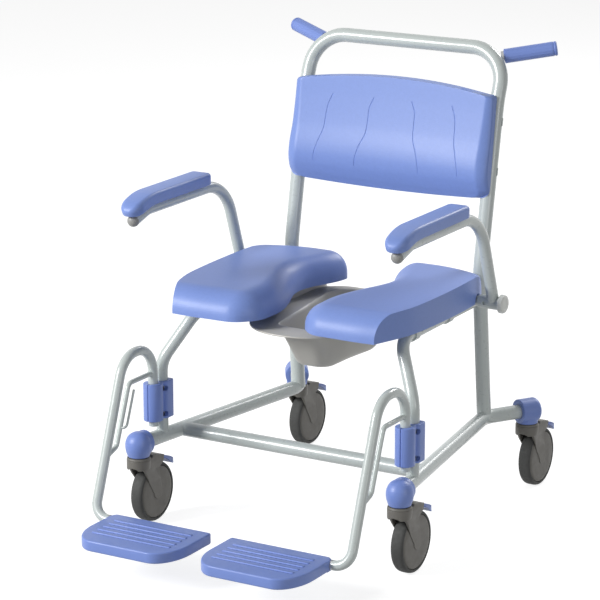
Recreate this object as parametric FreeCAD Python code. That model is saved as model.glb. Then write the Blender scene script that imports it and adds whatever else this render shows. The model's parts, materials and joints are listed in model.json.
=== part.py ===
"""Shower commode chair: tube frame on castors, split seat, pan, swing-up arms and swing-away footrests.

Millimetres. +Z is up, the sitter faces -Y, +X is the sitter's left. The origin lies on the floor in the
middle of the chair's plan box. Every piece is built on the left side and mirrored for the right.
"""
import FreeCAD, Part
import math
import os

V = FreeCAD.Vector
X_AXIS = V(1, 0, 0)
Y_AXIS = V(0, 1, 0)
Z_AXIS = V(0, 0, 1)

# Clearances
SEAT_GAP = 0.3        # soft pad or sliding piece to what carries it
RUN_GAP = 0.05        # radial clearance of a running fit
CLIP_GAP = 0.3        # clip to the tube it goes round

# Tubes
BASE_D = 30.0         # base, uprights and hoop
LEG_D = 25.0          # front legs and seat rails
ARM_D = 24.0          # armrest tube
HANGER_D = 20.0       # footrest hanger
WALL = 2.0

# Castors, with lengths from the stem's axis and heights from the fork's top
WHEEL_R, WHEEL_W, TYRE_T = 62.5, 27.0, 7.5
TRAIL = 48.0
TREAD_R = 6.0
AXLE_R, AXLE_HEAD_R, AXLE_HEAD_L = 5.0, 6.5, 1.0
HUB_INSET, HUB_LAND, HUB_BOSS_R, HUB_DISH = 1.0, 4.0, 16.0, 1.5
FORK_GAP, FORK_WALL, FORK_WELL = 1.2, 5.0, 3.0
FORK_CROWN, FORK_HEAD_R, FORK_HEAD_H = 24.7, 24.5, 27.0
FORK_LEG_R, FORK_FRONT, FORK_FRONT_DROP = 15.0, -14.0, 34.0
FORK_ROOF = [(20, 0), (34, 1), (72, 12.5)]       # top edge behind the head: how far back, and how far down
FORK_HOOK = [(72, 22), (52, 37)]                 # rear edge, down to the notch above the axle
FORK_ROOF_T = 3.4
STEM_R, STEM_LOW = 5.5, 6.0
CAP_R, CAP_COLLAR_R, CAP_EDGE_R = 25.8, 22.5, 10.0
CAP_OUT, CAP_IN = 24.0, 22.0                     # a cap's reach along the tube, beyond the stem and behind it
CAP_H = 26.0          # from a cap's lower face to the side tube's axis
TUBE_STOP = 9.0       # tube end to stem axis
PEDAL_Y, PEDAL_DROP = 42.0, 14.2
PEDAL_R, PEDAL_PIN_R = 5.5, 2.5
PEDAL_W, PEDAL_SLOT, PEDAL_ROOM = 22.0, 1.0, 4.0
PEDAL_TIP, PEDAL_TOP, PEDAL_NOSE, PEDAL_T = 114.0, 17.2, 35.0, 9.0
PEDAL_SHOE = 6.3      # from the tyre, with the brake off
HUB_R = WHEEL_R - TYRE_T
FORK_TOP = 2 * WHEEL_R + FORK_CROWN
PEDAL_Z = FORK_TOP - PEDAL_DROP

# Base frame
HALF_W = 224.0        # from the chair's middle to an upright
FRONT_SPLAY, REAR_SPLAY = 76.0, 57.0
BASE_Z = FORK_TOP + SEAT_GAP + CAP_H
FRONT_STEM = V(HALF_W + FRONT_SPLAY, -195, BASE_Z)
REAR_STEM = V(HALF_W + REAR_SPLAY, 409, BASE_Z)
UPRIGHT_FOOT = V(HALF_W, 319, BASE_Z)
SPLAY_R = 60.0
CROSS_Y = -62.0

# Back hoop
KNEE_Y, KNEE_Z, KNEE_R = 287.0, 490.0, 260.0
SHOULDER_Y, SHOULDER_Z, SHOULDER_R = 353.5, 840.0, 160.0
TOP_Y, TOP_Z, HOOP_R = 392.0, 940.0, 75.0

# Footrest clamp on the front leg
CLAMP_RISE, CLAMP_H = 38.0, 82.0
CLAMP_WEB = 10.5      # between leg and hanger
CLAMP_WALL, CLAMP_SIDE, CLAMP_FRONT, CLAMP_EDGE_R = 5.0, 7.0, 10.0, 7.0
CLAMP_WAIST, CLAMP_GROOVE = 13.5, 4.0            # between the lobe on the hanger and the block on the leg
CLAMP_SPLIT = 1.0
BOLT_R, BOLT_HEAD_R, BOLT_HEAD_L = 3.0, 5.5, 6.0
BOLT_RISE = 14.0      # from each end of the clamp
CLAMP_Z = BASE_Z + CLAMP_RISE
CLAMP_TOP = CLAMP_Z + CLAMP_H
CLAMP_R = LEG_D / 2 + CLAMP_WALL
CLAMP_HALF = LEG_D / 2 + CLAMP_SIDE

# Front legs and seat rails
LEG_Y = -122.0
LEG_BEND_RISE, LEG_BEND_R = 39.0, 70.0
RAIL_OUT, RAIL_Y, RAIL_Z, RAIL_R = 8.0, -70.0, 441.0, 55.0
LEG_BEND_Z = CLAMP_TOP + LEG_BEND_RISE
RAIL_X = HALF_W + RAIL_OUT

# Seat halves: the outer edge is measured from the upright, the inner edge from the chair's middle; the third
# number is a point's share of the roll
SEAT_OUTER = [(4, -168, 1), (19, -123, 0.3), (35, -65, 0), (41, 20, 0), (42, 100, 0), (39, 190, 0), (24, 248, 0)]
SEAT_INNER = [(190, 275, 0.15), (120, 281, 0.25), (76, 268, 0.4), (62, 240, 0.5), (68, 212, 0.5), (84, 172, 0.65),
              (97, 110, 0.8), (91, 70, 0.8), (75, 20, 0.9), (58, -35, 1), (52, -80, 1), (58, -118, 1),
              (84, -145, 1), (130, -168, 1), (190, -172, 1)]
SEAT_ROLL = [(0, 0), (22, 4), (38, 14), (48, 27), (54, 40)]    # height, and how far the edge is rolled in there
UPRIGHT_NOTCH = 4.0   # room between a seat half and the upright
STUB_NOTCH = 3.0      # room between a seat half and the armrest stub
SEAT_CLIPS_Y = (-20.0, 130.0)

# Commode pan and its rails
RIM_Z, RIM_T, RIM_HALF = 430.0, 4.0, 118.0
RIM_FRONT, RIM_REAR, RIM_FRONT_R, RIM_R = -141.0, 262.0, 112.0, 62.0
BOWL_DEPTH, BOWL_FRONT_R, BOWL_REAR_R, PAN_WALL = 95.0, 30.0, 45.0, 3.0
BOWL_MOUTH = [(47, -78), (88, 242)]               # half width and place of its front and rear edge
BOWL_FLOOR = [(38, -24), (54, 195)]
PAN_RAIL_FRONT, PAN_RAIL_REAR = -95.0, 255.0
PAN_RAIL_T, PAN_SHELF, PAN_RAIL_TOP = 2.5, 12.0, 22.0

# Backrest pad
BACK_THICK = [(648, 9.6), (655, 21), (668, 29.4), (690, 31.6), (720, 28.8), (760, 24.9), (810, 26.4), (857, 27.4)]
BACK_WIDER = 12.0     # the lower edge, beyond each upright's middle
BACK_SAG, BACK_REAR_SAG = 16.0, 12.0
BACK_ARCH, BACK_BOW = 16.0, 9.0                  # top and lower edge, in the middle
BACK_SECTIONS = (-1.0, -0.5, 0.0, 0.5, 1.0)
BACK_CLIPS_Z = (700.0, 800.0)

# Clips that hold the pads to the tubes
CLIP_T, CLIP_W, CLIP_FLANGE = 2.5, 18.0, 14.0
RIVET_R, RIVET_H = 4.5, 2.5

# Push grips
GRIP_IN, GRIP_BACK, GRIP_DOWN = 13.0, 17.5, 16.5   # grip's inner end from the hoop's corner point
GRIP_START = V(HALF_W - GRIP_IN, TOP_Y + GRIP_BACK, TOP_Z - GRIP_DOWN)
GRIP_DIR = V(0.90, 0.41, 0.17)
GRIP_L, GRIP_R, GRIP_STUB_R, GRIP_WALL, GRIP_EDGE_R = 109.0, 15.0, 11.0, 5.0, 4.0
GRIP_GAP = 1.0        # from the hoop
GRIP_ROOT = 32.0      # stub's length between hoop and grip

# Armrests
ARM_OUT = 72.0        # arm's middle outside the upright
ARM_PIVOT_Y, ARM_PIVOT_RISE = 207.0, 18.0
ARM_CORNER_Y, ARM_TOP_Z, ARM_R = 135.0, 657.0, 105.0
ARM_FRONT_Y, ARM_TIP_Y, ARM_DROOP, ARM_TIP_R = -158.0, -206.0, 14.0, 60.0
ARM_STUB_R, ARM_COLLAR_R, ARM_SLEEVE_R = 10.0, 13.0, 13.5
ARM_SLEEVE_INSET, ARM_SLEEVE_L = 26.0, 41.0
ARM_COLLAR_L = 5.0
ARM_CAP_R, ARM_CAP_L = 19.0, 11.0
ARM_SCREW_R, ARM_SCREW_IN = 4.0, 10.0
ARM_PAD_W, ARM_PAD_H, ARM_PAD_REAR, ARM_PAD_NOSE = 49.0, 24.0, 58.0, -235.0
ARM_X = HALF_W + ARM_OUT
ARM_PIVOT_Z = RAIL_Z + ARM_PIVOT_RISE
ARM_TIP_Z = ARM_TOP_Z - ARM_DROOP
ARM_SLEEVE_IN = ARM_X - ARM_SLEEVE_INSET
ARM_SLEEVE_OUT = ARM_SLEEVE_IN + ARM_SLEEVE_L

# Footrest hangers, guard rods and strap wires
HANGER_TAIL, HANGER_RISE, HANGER_ARCH_R = 8.0, 81.0, 58.0
HANGER_LOW_Y, HANGER_SLOPE, HANGER_LOW_R = -372.0, 0.372, 33.0
GUARD_D = 10.0
GUARD_RISE, GUARD_REACH, GUARD_R = 22.0, 88.0, 15.0
GUARD_LOW_Y, GUARD_LOW_Z, GUARD_DROP = -290.0, 199.0, 13.0
WIRE_D, WIRE_SIDE, WIRE_LOW, WIRE_TOP = 5.0, 15.0, 0.30, 0.92

# Footplates
PLATE_IN, PLATE_SIDE = 22.0, 39.0
PLATE_FRONT_Y, PLATE_Z, PLATE_T = -518.0, 76.0, 22.0
PLATE_FRONT_R, PLATE_REAR_R, PLATE_EDGE_R = 45.0, 8.0, 6.0
BOSS_L, BOSS_D, BOSS_T, BOSS_EDGE_R = 12.0, 26.0, 24.0, 2.5
HINGE_R, HINGE_L, HINGE_PLUG = 6.0, 48.0, 4.0
RIB_N, RIB_PITCH, RIB_W, RIB_H, RIB_L, RIB_START = 5, 19.3, 8.0, 1.6, 178.0, 33.0

# Derived places
SIDE_SLOPE = (UPRIGHT_FOOT.x - FRONT_STEM.x) / (UPRIGHT_FOOT.y - FRONT_STEM.y)
LEG_X = FRONT_STEM.x + SIDE_SLOPE * (LEG_Y - FRONT_STEM.y)
CROSS_X = FRONT_STEM.x + SIDE_SLOPE * (CROSS_Y - FRONT_STEM.y)
HANGER_OFFSET = LEG_D / 2 + CLAMP_WEB + HANGER_D / 2
HANGER_Y = LEG_Y - HANGER_OFFSET
HANGER_FOOT_Z = CLAMP_Z - HANGER_TAIL
HANGER_TOP_Z = CLAMP_TOP + HANGER_RISE
GUARD_TOP_Z = CLAMP_TOP + GUARD_RISE
GUARD_FRONT_Y = HANGER_Y - GUARD_REACH
PLATE_OUT = LEG_X - PLATE_SIDE
SEAT_Z = RAIL_Z + LEG_D / 2 + SEAT_GAP
BOLT_Y = LEG_Y - (LEG_D + CLAMP_WEB) / 2
AXLE_HALF = WHEEL_W / 2 + FORK_GAP + FORK_WALL
REAR_REACH = REAR_STEM.y + max(PEDAL_TIP, TRAIL + WHEEL_R)
PLAN_MIDDLE_Y = (PLATE_FRONT_Y + REAR_REACH) / 2
CASTORS = {"front_left": FRONT_STEM, "rear_left": REAR_STEM,
           "front_right": V(-FRONT_STEM.x, FRONT_STEM.y, BASE_Z),
           "rear_right": V(-REAR_STEM.x, REAR_STEM.y, BASE_Z)}


# Shape helpers

def bent_path(points, radii):
    """A wire of straight runs with a tangent arc of the given radius at each inner point."""
    edges = []
    start = points[0]
    for before, corner, after, radius in zip(points, points[1:], points[2:], radii):
        back = (before - corner).normalize()
        ahead = (after - corner).normalize()
        half = back.getAngle(ahead) / 2
        inward = (back + ahead).normalize()
        first = corner + back * (radius / math.tan(half))
        last = corner + ahead * (radius / math.tan(half))
        middle = corner + inward * (radius / math.sin(half) - radius)
        edges.append(Part.LineSegment(start, first).toShape())
        edges.append(Part.Arc(first, middle, last).toShape())
        start = last
    edges.append(Part.LineSegment(start, points[-1]).toShape())
    return Part.Wire(edges)


def rod(points, radii, diameter):
    """A solid round bar bent along the points."""
    circle = Part.Circle(points[0], points[1] - points[0], diameter / 2)
    return bent_path(points, radii).makePipeShell([Part.Wire([circle.toShape()])], True, False)


def tube(points, radii, diameter):
    """A bent tube of the common wall thickness, open at both ends."""
    return rod(points, radii, diameter).cut(rod(points, radii, diameter - 2 * WALL))


def cylinder(radius, start, axis, length):
    return Part.makeCylinder(radius, length, start, axis)


def box(low, high):
    """A box between two corners given as (x, y, z)."""
    size = [b - a for a, b in zip(low, high)]
    return Part.makeBox(*size, V(*low))


def prism(points, direction):
    """A straight-sided solid on a closed polygon."""
    return Part.Face(Part.makePolygon(points + points[:1])).extrude(direction)


def rounded_rectangle(low, high, radii, z):
    """A wire round a plan rectangle; radii are for the corners front-in, front-out, rear-out, rear-in."""
    corners = [V(low[0], low[1], z), V(high[0], low[1], z), V(high[0], high[1], z), V(low[0], high[1], z)]
    start = (corners[0] + corners[1]) / 2
    return bent_path([start] + corners[1:] + corners[:1] + [start], radii[1:] + radii[:1])


def mirrored(shape):
    return shape.mirror(V(0, 0, 0), X_AXIS)


def upright_y(z):
    """Where the back hoop's straight runs lie at a height."""
    stations = [(BASE_Z, UPRIGHT_FOOT.y), (KNEE_Z, KNEE_Y), (SHOULDER_Z, SHOULDER_Y), (TOP_Z, TOP_Y)]
    for (z0, y0), (z1, y1) in zip(stations, stations[1:]):
        if z <= z1:
            break
    return y0 + (y1 - y0) * (z - z0) / (z1 - z0)


def rail_x(y):
    """Where the left seat rail's straight run lies at a station."""
    rear = upright_y(RAIL_Z)
    return RAIL_X + (UPRIGHT_FOOT.x - RAIL_X) * (y - RAIL_Y) / (rear - RAIL_Y)


def saddle(radius, flanges):
    """A strap round a tube on the Z axis that ends on a pad face on the -Y side; flanges are +1 or -1."""
    face = -radius - SEAT_GAP
    bore = radius + CLIP_GAP
    outer = bore + CLIP_T
    half = CLIP_W / 2
    strap = cylinder(outer, V(0, 0, -half), Z_AXIS, CLIP_W)
    strap = strap.common(box((-outer, 0, -half), (outer, outer, half)))
    strap = strap.fuse(box((-outer, face, -half), (outer, 0, half)))
    for side in flanges:
        low, high = sorted((side * bore, side * (outer + CLIP_FLANGE)))
        strap = strap.fuse(box((low, face, -half), (high, face + CLIP_T, half)))
        rivet = V(side * (outer + CLIP_FLANGE / 2), face, 0)
        strap = strap.fuse(cylinder(RIVET_R, rivet, Y_AXIS, CLIP_T + RIVET_H))
    strap = strap.cut(cylinder(bore, V(0, 0, -half), Z_AXIS, CLIP_W))
    return strap.cut(box((-bore, face, -half), (bore, 0, half))).removeSplitter()


# Frame tubes

def side_points():
    front_way = (UPRIGHT_FOOT - FRONT_STEM).normalize()
    rear_way = (REAR_STEM - UPRIGHT_FOOT).normalize()
    return [FRONT_STEM + front_way * TUBE_STOP, UPRIGHT_FOOT, REAR_STEM - rear_way * TUBE_STOP]


def side_rod():
    return rod(side_points(), [SPLAY_R], BASE_D)


def side_tube():
    return tube(side_points(), [SPLAY_R], BASE_D)


def cross_tube():
    ends = [V(-CROSS_X, CROSS_Y, BASE_Z), V(CROSS_X, CROSS_Y, BASE_Z)]
    return tube(ends, [], BASE_D).cut(side_rod()).cut(mirrored(side_rod()))


def hoop_points():
    left = [UPRIGHT_FOOT, V(UPRIGHT_FOOT.x, KNEE_Y, KNEE_Z), V(UPRIGHT_FOOT.x, SHOULDER_Y, SHOULDER_Z),
            V(UPRIGHT_FOOT.x, TOP_Y, TOP_Z)]
    return left + [V(-p.x, p.y, p.z) for p in reversed(left)]


HOOP_RADII = [KNEE_R, SHOULDER_R, HOOP_R, HOOP_R, SHOULDER_R, KNEE_R]


def hoop_rod():
    return rod(hoop_points(), HOOP_RADII, BASE_D)


def back_frame():
    return tube(hoop_points(), HOOP_RADII, BASE_D).cut(side_rod()).cut(mirrored(side_rod()))


def leg_points():
    return [V(LEG_X, LEG_Y, BASE_Z), V(LEG_X, LEG_Y, LEG_BEND_Z), V(RAIL_X, RAIL_Y, RAIL_Z),
            V(UPRIGHT_FOOT.x, upright_y(RAIL_Z), RAIL_Z)]


def leg_rod():
    return rod(leg_points(), [LEG_BEND_R, RAIL_R], LEG_D)


def leg_tube():
    """Front leg and seat rail in one bent tube, coped on to the side tube and the upright."""
    bent = tube(leg_points(), [LEG_BEND_R, RAIL_R], LEG_D)
    return bent.cut(side_rod()).cut(hoop_rod())


# Seat, pan and backrest

def seat_outline(height, roll):
    """A seat half's plan outline at a height, moved in from its front and inner edge by its roll there."""
    points = [V(HALF_W + x, y, 0) for x, y, _ in SEAT_OUTER] + [V(x, y, 0) for x, y, _ in SEAT_INNER]
    shares = [share for _, _, share in SEAT_OUTER + SEAT_INNER]
    outline = []
    for i, point in enumerate(points):
        along = points[(i + 1) % len(points)] - points[i - 1]
        inwards = Z_AXIS.cross(along).normalize()
        outline.append(point + inwards * (shares[i] * roll) + Z_AXIS * (SEAT_Z + height))
    curve = Part.BSplineCurve()
    curve.interpolate(outline, PeriodicFlag=True)
    return Part.Wire([curve.toShape()])


def seat_pad():
    """One seat half, crisp at its outer edge and rolled over at its front and inner edge."""
    pad = Part.makeLoft([seat_outline(height, roll) for height, roll in SEAT_ROLL], True)
    return pad.cut(stub_room()).cut(rod(hoop_points(), HOOP_RADII, BASE_D + 2 * UPRIGHT_NOTCH))


def stub_room():
    """The recess in a seat half's outer edge that the armrest stub lies in."""
    half = ARM_STUB_R + STUB_NOTCH
    inner = rail_x(ARM_PIVOT_Y) - LEG_D / 2
    return box((inner, ARM_PIVOT_Y - half, SEAT_Z - SEAT_GAP),
               (ARM_X, ARM_PIVOT_Y + half, ARM_PIVOT_Z + half))


def seat_clips():
    """Two straps that hold a seat half to its rail."""
    clips = []
    for y in SEAT_CLIPS_Y:
        clip = saddle(LEG_D / 2, (-1, 1))
        clip.rotate(V(0, 0, 0), X_AXIS, -90)
        clip.translate(V(rail_x(y), y, RAIL_Z))
        clips.append(clip)
    return clips


def pan_rail():
    """A rolled channel under a seat half that the pan's rim slides in."""
    wall = RIM_HALF + SEAT_GAP
    shelf = RIM_Z - SEAT_GAP
    profile = [(wall - PAN_SHELF, shelf - PAN_RAIL_T), (wall + PAN_RAIL_T, shelf - PAN_RAIL_T),
               (wall + PAN_RAIL_T, SEAT_Z - PAN_RAIL_T), (wall + PAN_RAIL_TOP, SEAT_Z - PAN_RAIL_T),
               (wall + PAN_RAIL_TOP, SEAT_Z), (wall, SEAT_Z), (wall, shelf), (wall - PAN_SHELF, shelf)]
    points = [V(x, PAN_RAIL_FRONT, z) for x, z in profile]
    return prism(points, Y_AXIS * (PAN_RAIL_REAR - PAN_RAIL_FRONT))


def bowl(inset, floor):
    """The pan's bowl, narrower in front and tapered all round, moved in by a wall."""
    rings = []
    for edges, rise in ((BOWL_MOUTH, BOWL_DEPTH), (BOWL_FLOOR, floor)):
        z = RIM_Z + RIM_T - BOWL_DEPTH + rise
        (front_half, front), (rear_half, rear) = edges
        start = V(0, front + inset, z)
        side = [V(front_half - inset, front + inset, z), V(rear_half - inset, rear - inset, z)]
        corners = side + [V(-p.x, p.y, z) for p in reversed(side)]
        radii = [BOWL_FRONT_R - inset, BOWL_REAR_R - inset, BOWL_REAR_R - inset, BOWL_FRONT_R - inset]
        rings.append(bent_path([start] + corners + [start], radii))
    return Part.makeLoft(rings, True, True)


def commode_pan():
    outline = rounded_rectangle((-RIM_HALF, RIM_FRONT), (RIM_HALF, RIM_REAR),
                                [RIM_FRONT_R, RIM_FRONT_R, RIM_R, RIM_R], RIM_Z)
    rim = Part.Face(outline).extrude(Z_AXIS * RIM_T)
    return rim.fuse(bowl(0, 0)).cut(bowl(PAN_WALL, PAN_WALL)).removeSplitter()


def back_section(across):
    """The backrest's section at a share of its half width: hollowed, arched at the top and bowed below."""
    lean = (SHOULDER_Y - KNEE_Y) / (SHOULDER_Z - KNEE_Z)
    setback = (BASE_D / 2 + SEAT_GAP) * math.hypot(1, lean)
    low, high = BACK_THICK[0][0], BACK_THICK[-1][0]
    hollow = 1 - across ** 2
    front, rear = [], []
    for z, thick in BACK_THICK:
        rise = (z - low) / (high - low)
        x = across * (HALF_W + BACK_WIDER * (1 - rise))
        y = upright_y(low) - setback + lean * (z - low)
        shifted = z + hollow * (BACK_ARCH * rise - BACK_BOW * (1 - rise))
        front.append(V(x, y - thick + BACK_SAG * hollow, shifted))
        rear.append(V(x, y + BACK_REAR_SAG * hollow, shifted))
    curve = Part.BSplineCurve()
    curve.interpolate(front)
    corners = [front[-1], rear[-1], rear[0], front[0]]
    edges = [Part.LineSegment(a, b).toShape() for a, b in zip(corners, corners[1:])]
    return Part.Wire([curve.toShape()] + edges)


def back_pad():
    """The backrest, hollowed for the sitter's back and clear of the uprights and their straps."""
    pad = Part.makeLoft([back_section(across) for across in BACK_SECTIONS], True)
    for clip in back_clips():
        pad = pad.cut(clip)
    return pad.cut(rod(hoop_points(), HOOP_RADII, BASE_D + 2 * SEAT_GAP))


def back_clips():
    """Straps that hold the backrest to the two uprights."""
    lean = math.degrees(math.atan((SHOULDER_Y - KNEE_Y) / (SHOULDER_Z - KNEE_Z)))
    clips = []
    for z in BACK_CLIPS_Z:
        clip = saddle(BASE_D / 2, (-1,))
        clip.rotate(V(0, 0, 0), X_AXIS, -lean)
        clip.translate(V(UPRIGHT_FOOT.x, upright_y(z), z))
        clips += [clip, mirrored(clip)]
    return clips


# Push grips

def grip_way():
    return V(GRIP_DIR).normalize()


def grip_stub():
    start = GRIP_START - grip_way() * GRIP_ROOT
    stub = cylinder(GRIP_STUB_R, start, grip_way(), GRIP_ROOT + GRIP_L - GRIP_WALL)
    return max(stub.cut(hoop_rod()).Solids, key=lambda s: s.Volume)


def push_grip():
    grip = cylinder(GRIP_R, GRIP_START, grip_way(), GRIP_L)
    grip = grip.makeFillet(GRIP_EDGE_R, [e for e in grip.Edges if e.Closed])
    grip = grip.cut(rod(hoop_points(), HOOP_RADII, BASE_D + 2 * GRIP_GAP))
    return grip.cut(cylinder(GRIP_STUB_R, GRIP_START, grip_way(), GRIP_L - GRIP_WALL))


# Armrests

def arm_points():
    return [V(ARM_X, ARM_PIVOT_Y, ARM_PIVOT_Z), V(ARM_X, ARM_CORNER_Y, ARM_TOP_Z),
            V(ARM_X, ARM_FRONT_Y, ARM_TOP_Z), V(ARM_X, ARM_TIP_Y, ARM_TIP_Z)]


def armrest_tube():
    """The bent tube and the sleeve at its foot, which turns on the stub."""
    pivot = V(ARM_SLEEVE_IN, ARM_PIVOT_Y, ARM_PIVOT_Z)
    sleeve = cylinder(ARM_SLEEVE_R, pivot, X_AXIS, ARM_SLEEVE_L)
    bent = tube(arm_points(), [ARM_R, ARM_TIP_R], ARM_D).cut(sleeve)
    bent = max(bent.Solids, key=lambda s: s.Volume)
    sleeve = sleeve.cut(cylinder(ARM_STUB_R + RUN_GAP, pivot, X_AXIS, ARM_SLEEVE_L))
    screw = pivot + X_AXIS * ARM_SCREW_IN
    return [bent, sleeve.cut(cylinder(ARM_SCREW_R, screw, -Y_AXIS, 2 * ARM_SLEEVE_R))]


def armrest_tip():
    ball = Part.makeSphere(ARM_D / 2, V(ARM_X, ARM_TIP_Y, ARM_TIP_Z))
    return ball.cut(rod(arm_points(), [ARM_R, ARM_TIP_R], ARM_D))


def armrest_pad():
    """The moulded pad on the tube, its nose drooping over the tube's bent tip."""
    seat = ARM_D / 2 + SEAT_GAP
    under = ARM_TOP_Z + seat
    top = under + ARM_PAD_H
    drop = (ARM_TOP_Z - ARM_TIP_Z) / (ARM_FRONT_Y - ARM_TIP_Y)
    bend_y = ARM_FRONT_Y - seat * (math.hypot(1, drop) - 1) / drop
    nose_under = under - drop * (bend_y - ARM_PAD_NOSE)
    nose_top = V(ARM_X, ARM_PAD_NOSE, nose_under + ARM_PAD_H / 3)
    shoulder = V(ARM_X, ARM_FRONT_Y, top)
    bulge = V(ARM_X, (ARM_PAD_NOSE + ARM_FRONT_Y) / 2 - ARM_PAD_H / 3, (top + nose_top.z) / 2 + ARM_PAD_H / 4)
    corners = [nose_top, V(ARM_X, ARM_PAD_NOSE, nose_under), V(ARM_X, bend_y, under),
               V(ARM_X, ARM_PAD_REAR, under), V(ARM_X, ARM_PAD_REAR, top), shoulder]
    edges = [Part.LineSegment(a, b).toShape() for a, b in zip(corners, corners[1:])]
    edges.append(Part.Arc(shoulder, bulge, nose_top).toShape())
    face = Part.Face(Part.Wire(edges))
    face.translate(X_AXIS * (-ARM_PAD_W / 2))
    return face.extrude(X_AXIS * ARM_PAD_W)


def armrest_stub():
    """The fixed pivot welded on the seat rail, with the collar that the sleeve turns against."""
    start = V(rail_x(ARM_PIVOT_Y), ARM_PIVOT_Y, ARM_PIVOT_Z)
    length = ARM_SLEEVE_OUT + SEAT_GAP - start.x
    stub = cylinder(ARM_STUB_R, start, X_AXIS, length)
    collar = V(ARM_SLEEVE_IN - SEAT_GAP - ARM_COLLAR_L, ARM_PIVOT_Y, ARM_PIVOT_Z)
    return stub.fuse(cylinder(ARM_COLLAR_R, collar, X_AXIS, ARM_COLLAR_L)).cut(leg_rod())


def armrest_cap():
    end = V(ARM_SLEEVE_OUT + SEAT_GAP, ARM_PIVOT_Y, ARM_PIVOT_Z)
    cap = cylinder(ARM_CAP_R, end, X_AXIS, ARM_CAP_L)
    rim = [e for e in cap.Edges if e.Closed and e.CenterOfMass.x > end.x + ARM_CAP_L / 2]
    return cap.makeFillet(ARM_CAP_L / 3, rim)


# Footrests

def clamp_body():
    """The moulding before it is split: a square block on the leg, a round lobe on the hanger and a waist."""
    outline = rounded_rectangle((LEG_X - CLAMP_HALF, BOLT_Y + CLAMP_GROOVE), (LEG_X + CLAMP_HALF, LEG_Y + CLAMP_R),
                                [CLAMP_EDGE_R] * 4, CLAMP_Z)
    block = Part.Face(outline).extrude(Z_AXIS * CLAMP_H)
    lobe = cylinder(HANGER_D / 2 + CLAMP_FRONT, V(LEG_X, HANGER_Y, CLAMP_Z), Z_AXIS, CLAMP_H)
    waist = box((LEG_X - CLAMP_WAIST, HANGER_Y, CLAMP_Z), (LEG_X + CLAMP_WAIST, LEG_Y, CLAMP_Z + CLAMP_H))
    block = block.fuse(lobe).fuse(waist).removeSplitter()
    block = block.cut(cylinder(LEG_D / 2, V(LEG_X, LEG_Y, CLAMP_Z), Z_AXIS, CLAMP_H))
    hanger = cylinder(HANGER_D / 2 + RUN_GAP, V(LEG_X, HANGER_Y, CLAMP_Z), Z_AXIS, CLAMP_H)
    block = block.cut(hanger)
    for bolt in clamp_bolts():
        block = block.cut(bolt)
        for side in (-1, 1):
            face = V(LEG_X + side * CLAMP_WAIST, BOLT_Y, bolt.BoundBox.Center.z)
            block = block.cut(cylinder(BOLT_HEAD_R, face, X_AXIS * side, CLAMP_HALF))
    return block


def clamp_half(side):
    """The half of the clamp on one side of its split: +1 outer, -1 inner."""
    low, high = sorted((LEG_X + side * CLAMP_SPLIT / 2, LEG_X + side * 2 * CLAMP_HALF))
    reach = 2 * (CLAMP_HALF + HANGER_OFFSET)
    room = box((low, LEG_Y - reach, CLAMP_Z), (high, LEG_Y + reach, CLAMP_Z + CLAMP_H))
    return clamp_body().common(room)


def clamp_bolts():
    """Two sleeve bolts across the clamp's waist, their heads sunk in its sides."""
    bolts = []
    for z in (CLAMP_Z + BOLT_RISE, CLAMP_Z + CLAMP_H - BOLT_RISE):
        start = V(LEG_X - CLAMP_WAIST, BOLT_Y, z)
        bolt = cylinder(BOLT_R, start, X_AXIS, 2 * CLAMP_WAIST)
        bolt = bolt.fuse(cylinder(BOLT_HEAD_R, start, X_AXIS, BOLT_HEAD_L))
        start = V(LEG_X + CLAMP_WAIST - BOLT_HEAD_L, BOLT_Y, z)
        bolts.append(bolt.fuse(cylinder(BOLT_HEAD_R, start, X_AXIS, BOLT_HEAD_L)).removeSplitter())
    return bolts


def hanger_front_y(z):
    """The hanger's front run: how far forward it lies at a height."""
    return HANGER_LOW_Y + HANGER_SLOPE * (z - PLATE_Z)


def hanger_points():
    return [V(LEG_X, HANGER_Y, HANGER_FOOT_Z), V(LEG_X, HANGER_Y, HANGER_TOP_Z),
            V(LEG_X, hanger_front_y(HANGER_TOP_Z), HANGER_TOP_Z), V(LEG_X, HANGER_LOW_Y, PLATE_Z),
            V(PLATE_OUT + SEAT_GAP + HINGE_PLUG, HANGER_LOW_Y, PLATE_Z)]


HANGER_RADII = [HANGER_ARCH_R, HANGER_ARCH_R, HANGER_LOW_R]


def hanger_rod():
    return rod(hanger_points(), HANGER_RADII, HANGER_D)


def hanger_tube():
    return tube(hanger_points(), HANGER_RADII, HANGER_D)


def hinge_pin():
    """The pin that the footplate folds on, with the plug that closes the hanger's end."""
    start = V(PLATE_OUT + SEAT_GAP, HANGER_LOW_Y, PLATE_Z)
    pin = cylinder(HINGE_R, start, -X_AXIS, HINGE_L)
    return pin.fuse(cylinder(HANGER_D / 2, start, X_AXIS, HINGE_PLUG))


def guard_points():
    low = V(LEG_X, GUARD_LOW_Y, GUARD_LOW_Z)
    foot_z = GUARD_LOW_Z - GUARD_DROP
    return [V(LEG_X, HANGER_Y, GUARD_TOP_Z), V(LEG_X, GUARD_FRONT_Y, GUARD_TOP_Z), low,
            V(LEG_X, hanger_front_y(foot_z), foot_z)]


def guard_rod():
    """The thin rod welded inside the hanger's loop, and the strap wire that hooks on to it."""
    bar = rod(guard_points(), [GUARD_R, GUARD_R], GUARD_D).cut(hanger_rod())
    bar = max(bar.Solids, key=lambda s: s.Volume)
    top, low = guard_points()[1:3]
    run = top - low
    side = X_AXIS * -WIRE_SIDE
    wire_points = [low + run * WIRE_LOW, low + run * WIRE_LOW + side, low + run * WIRE_TOP + side]
    wire = rod(wire_points, [WIRE_D * 2], WIRE_D).cut(rod(guard_points(), [GUARD_R, GUARD_R], GUARD_D))
    return [bar, max(wire.Solids, key=lambda s: s.Volume)]


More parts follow.
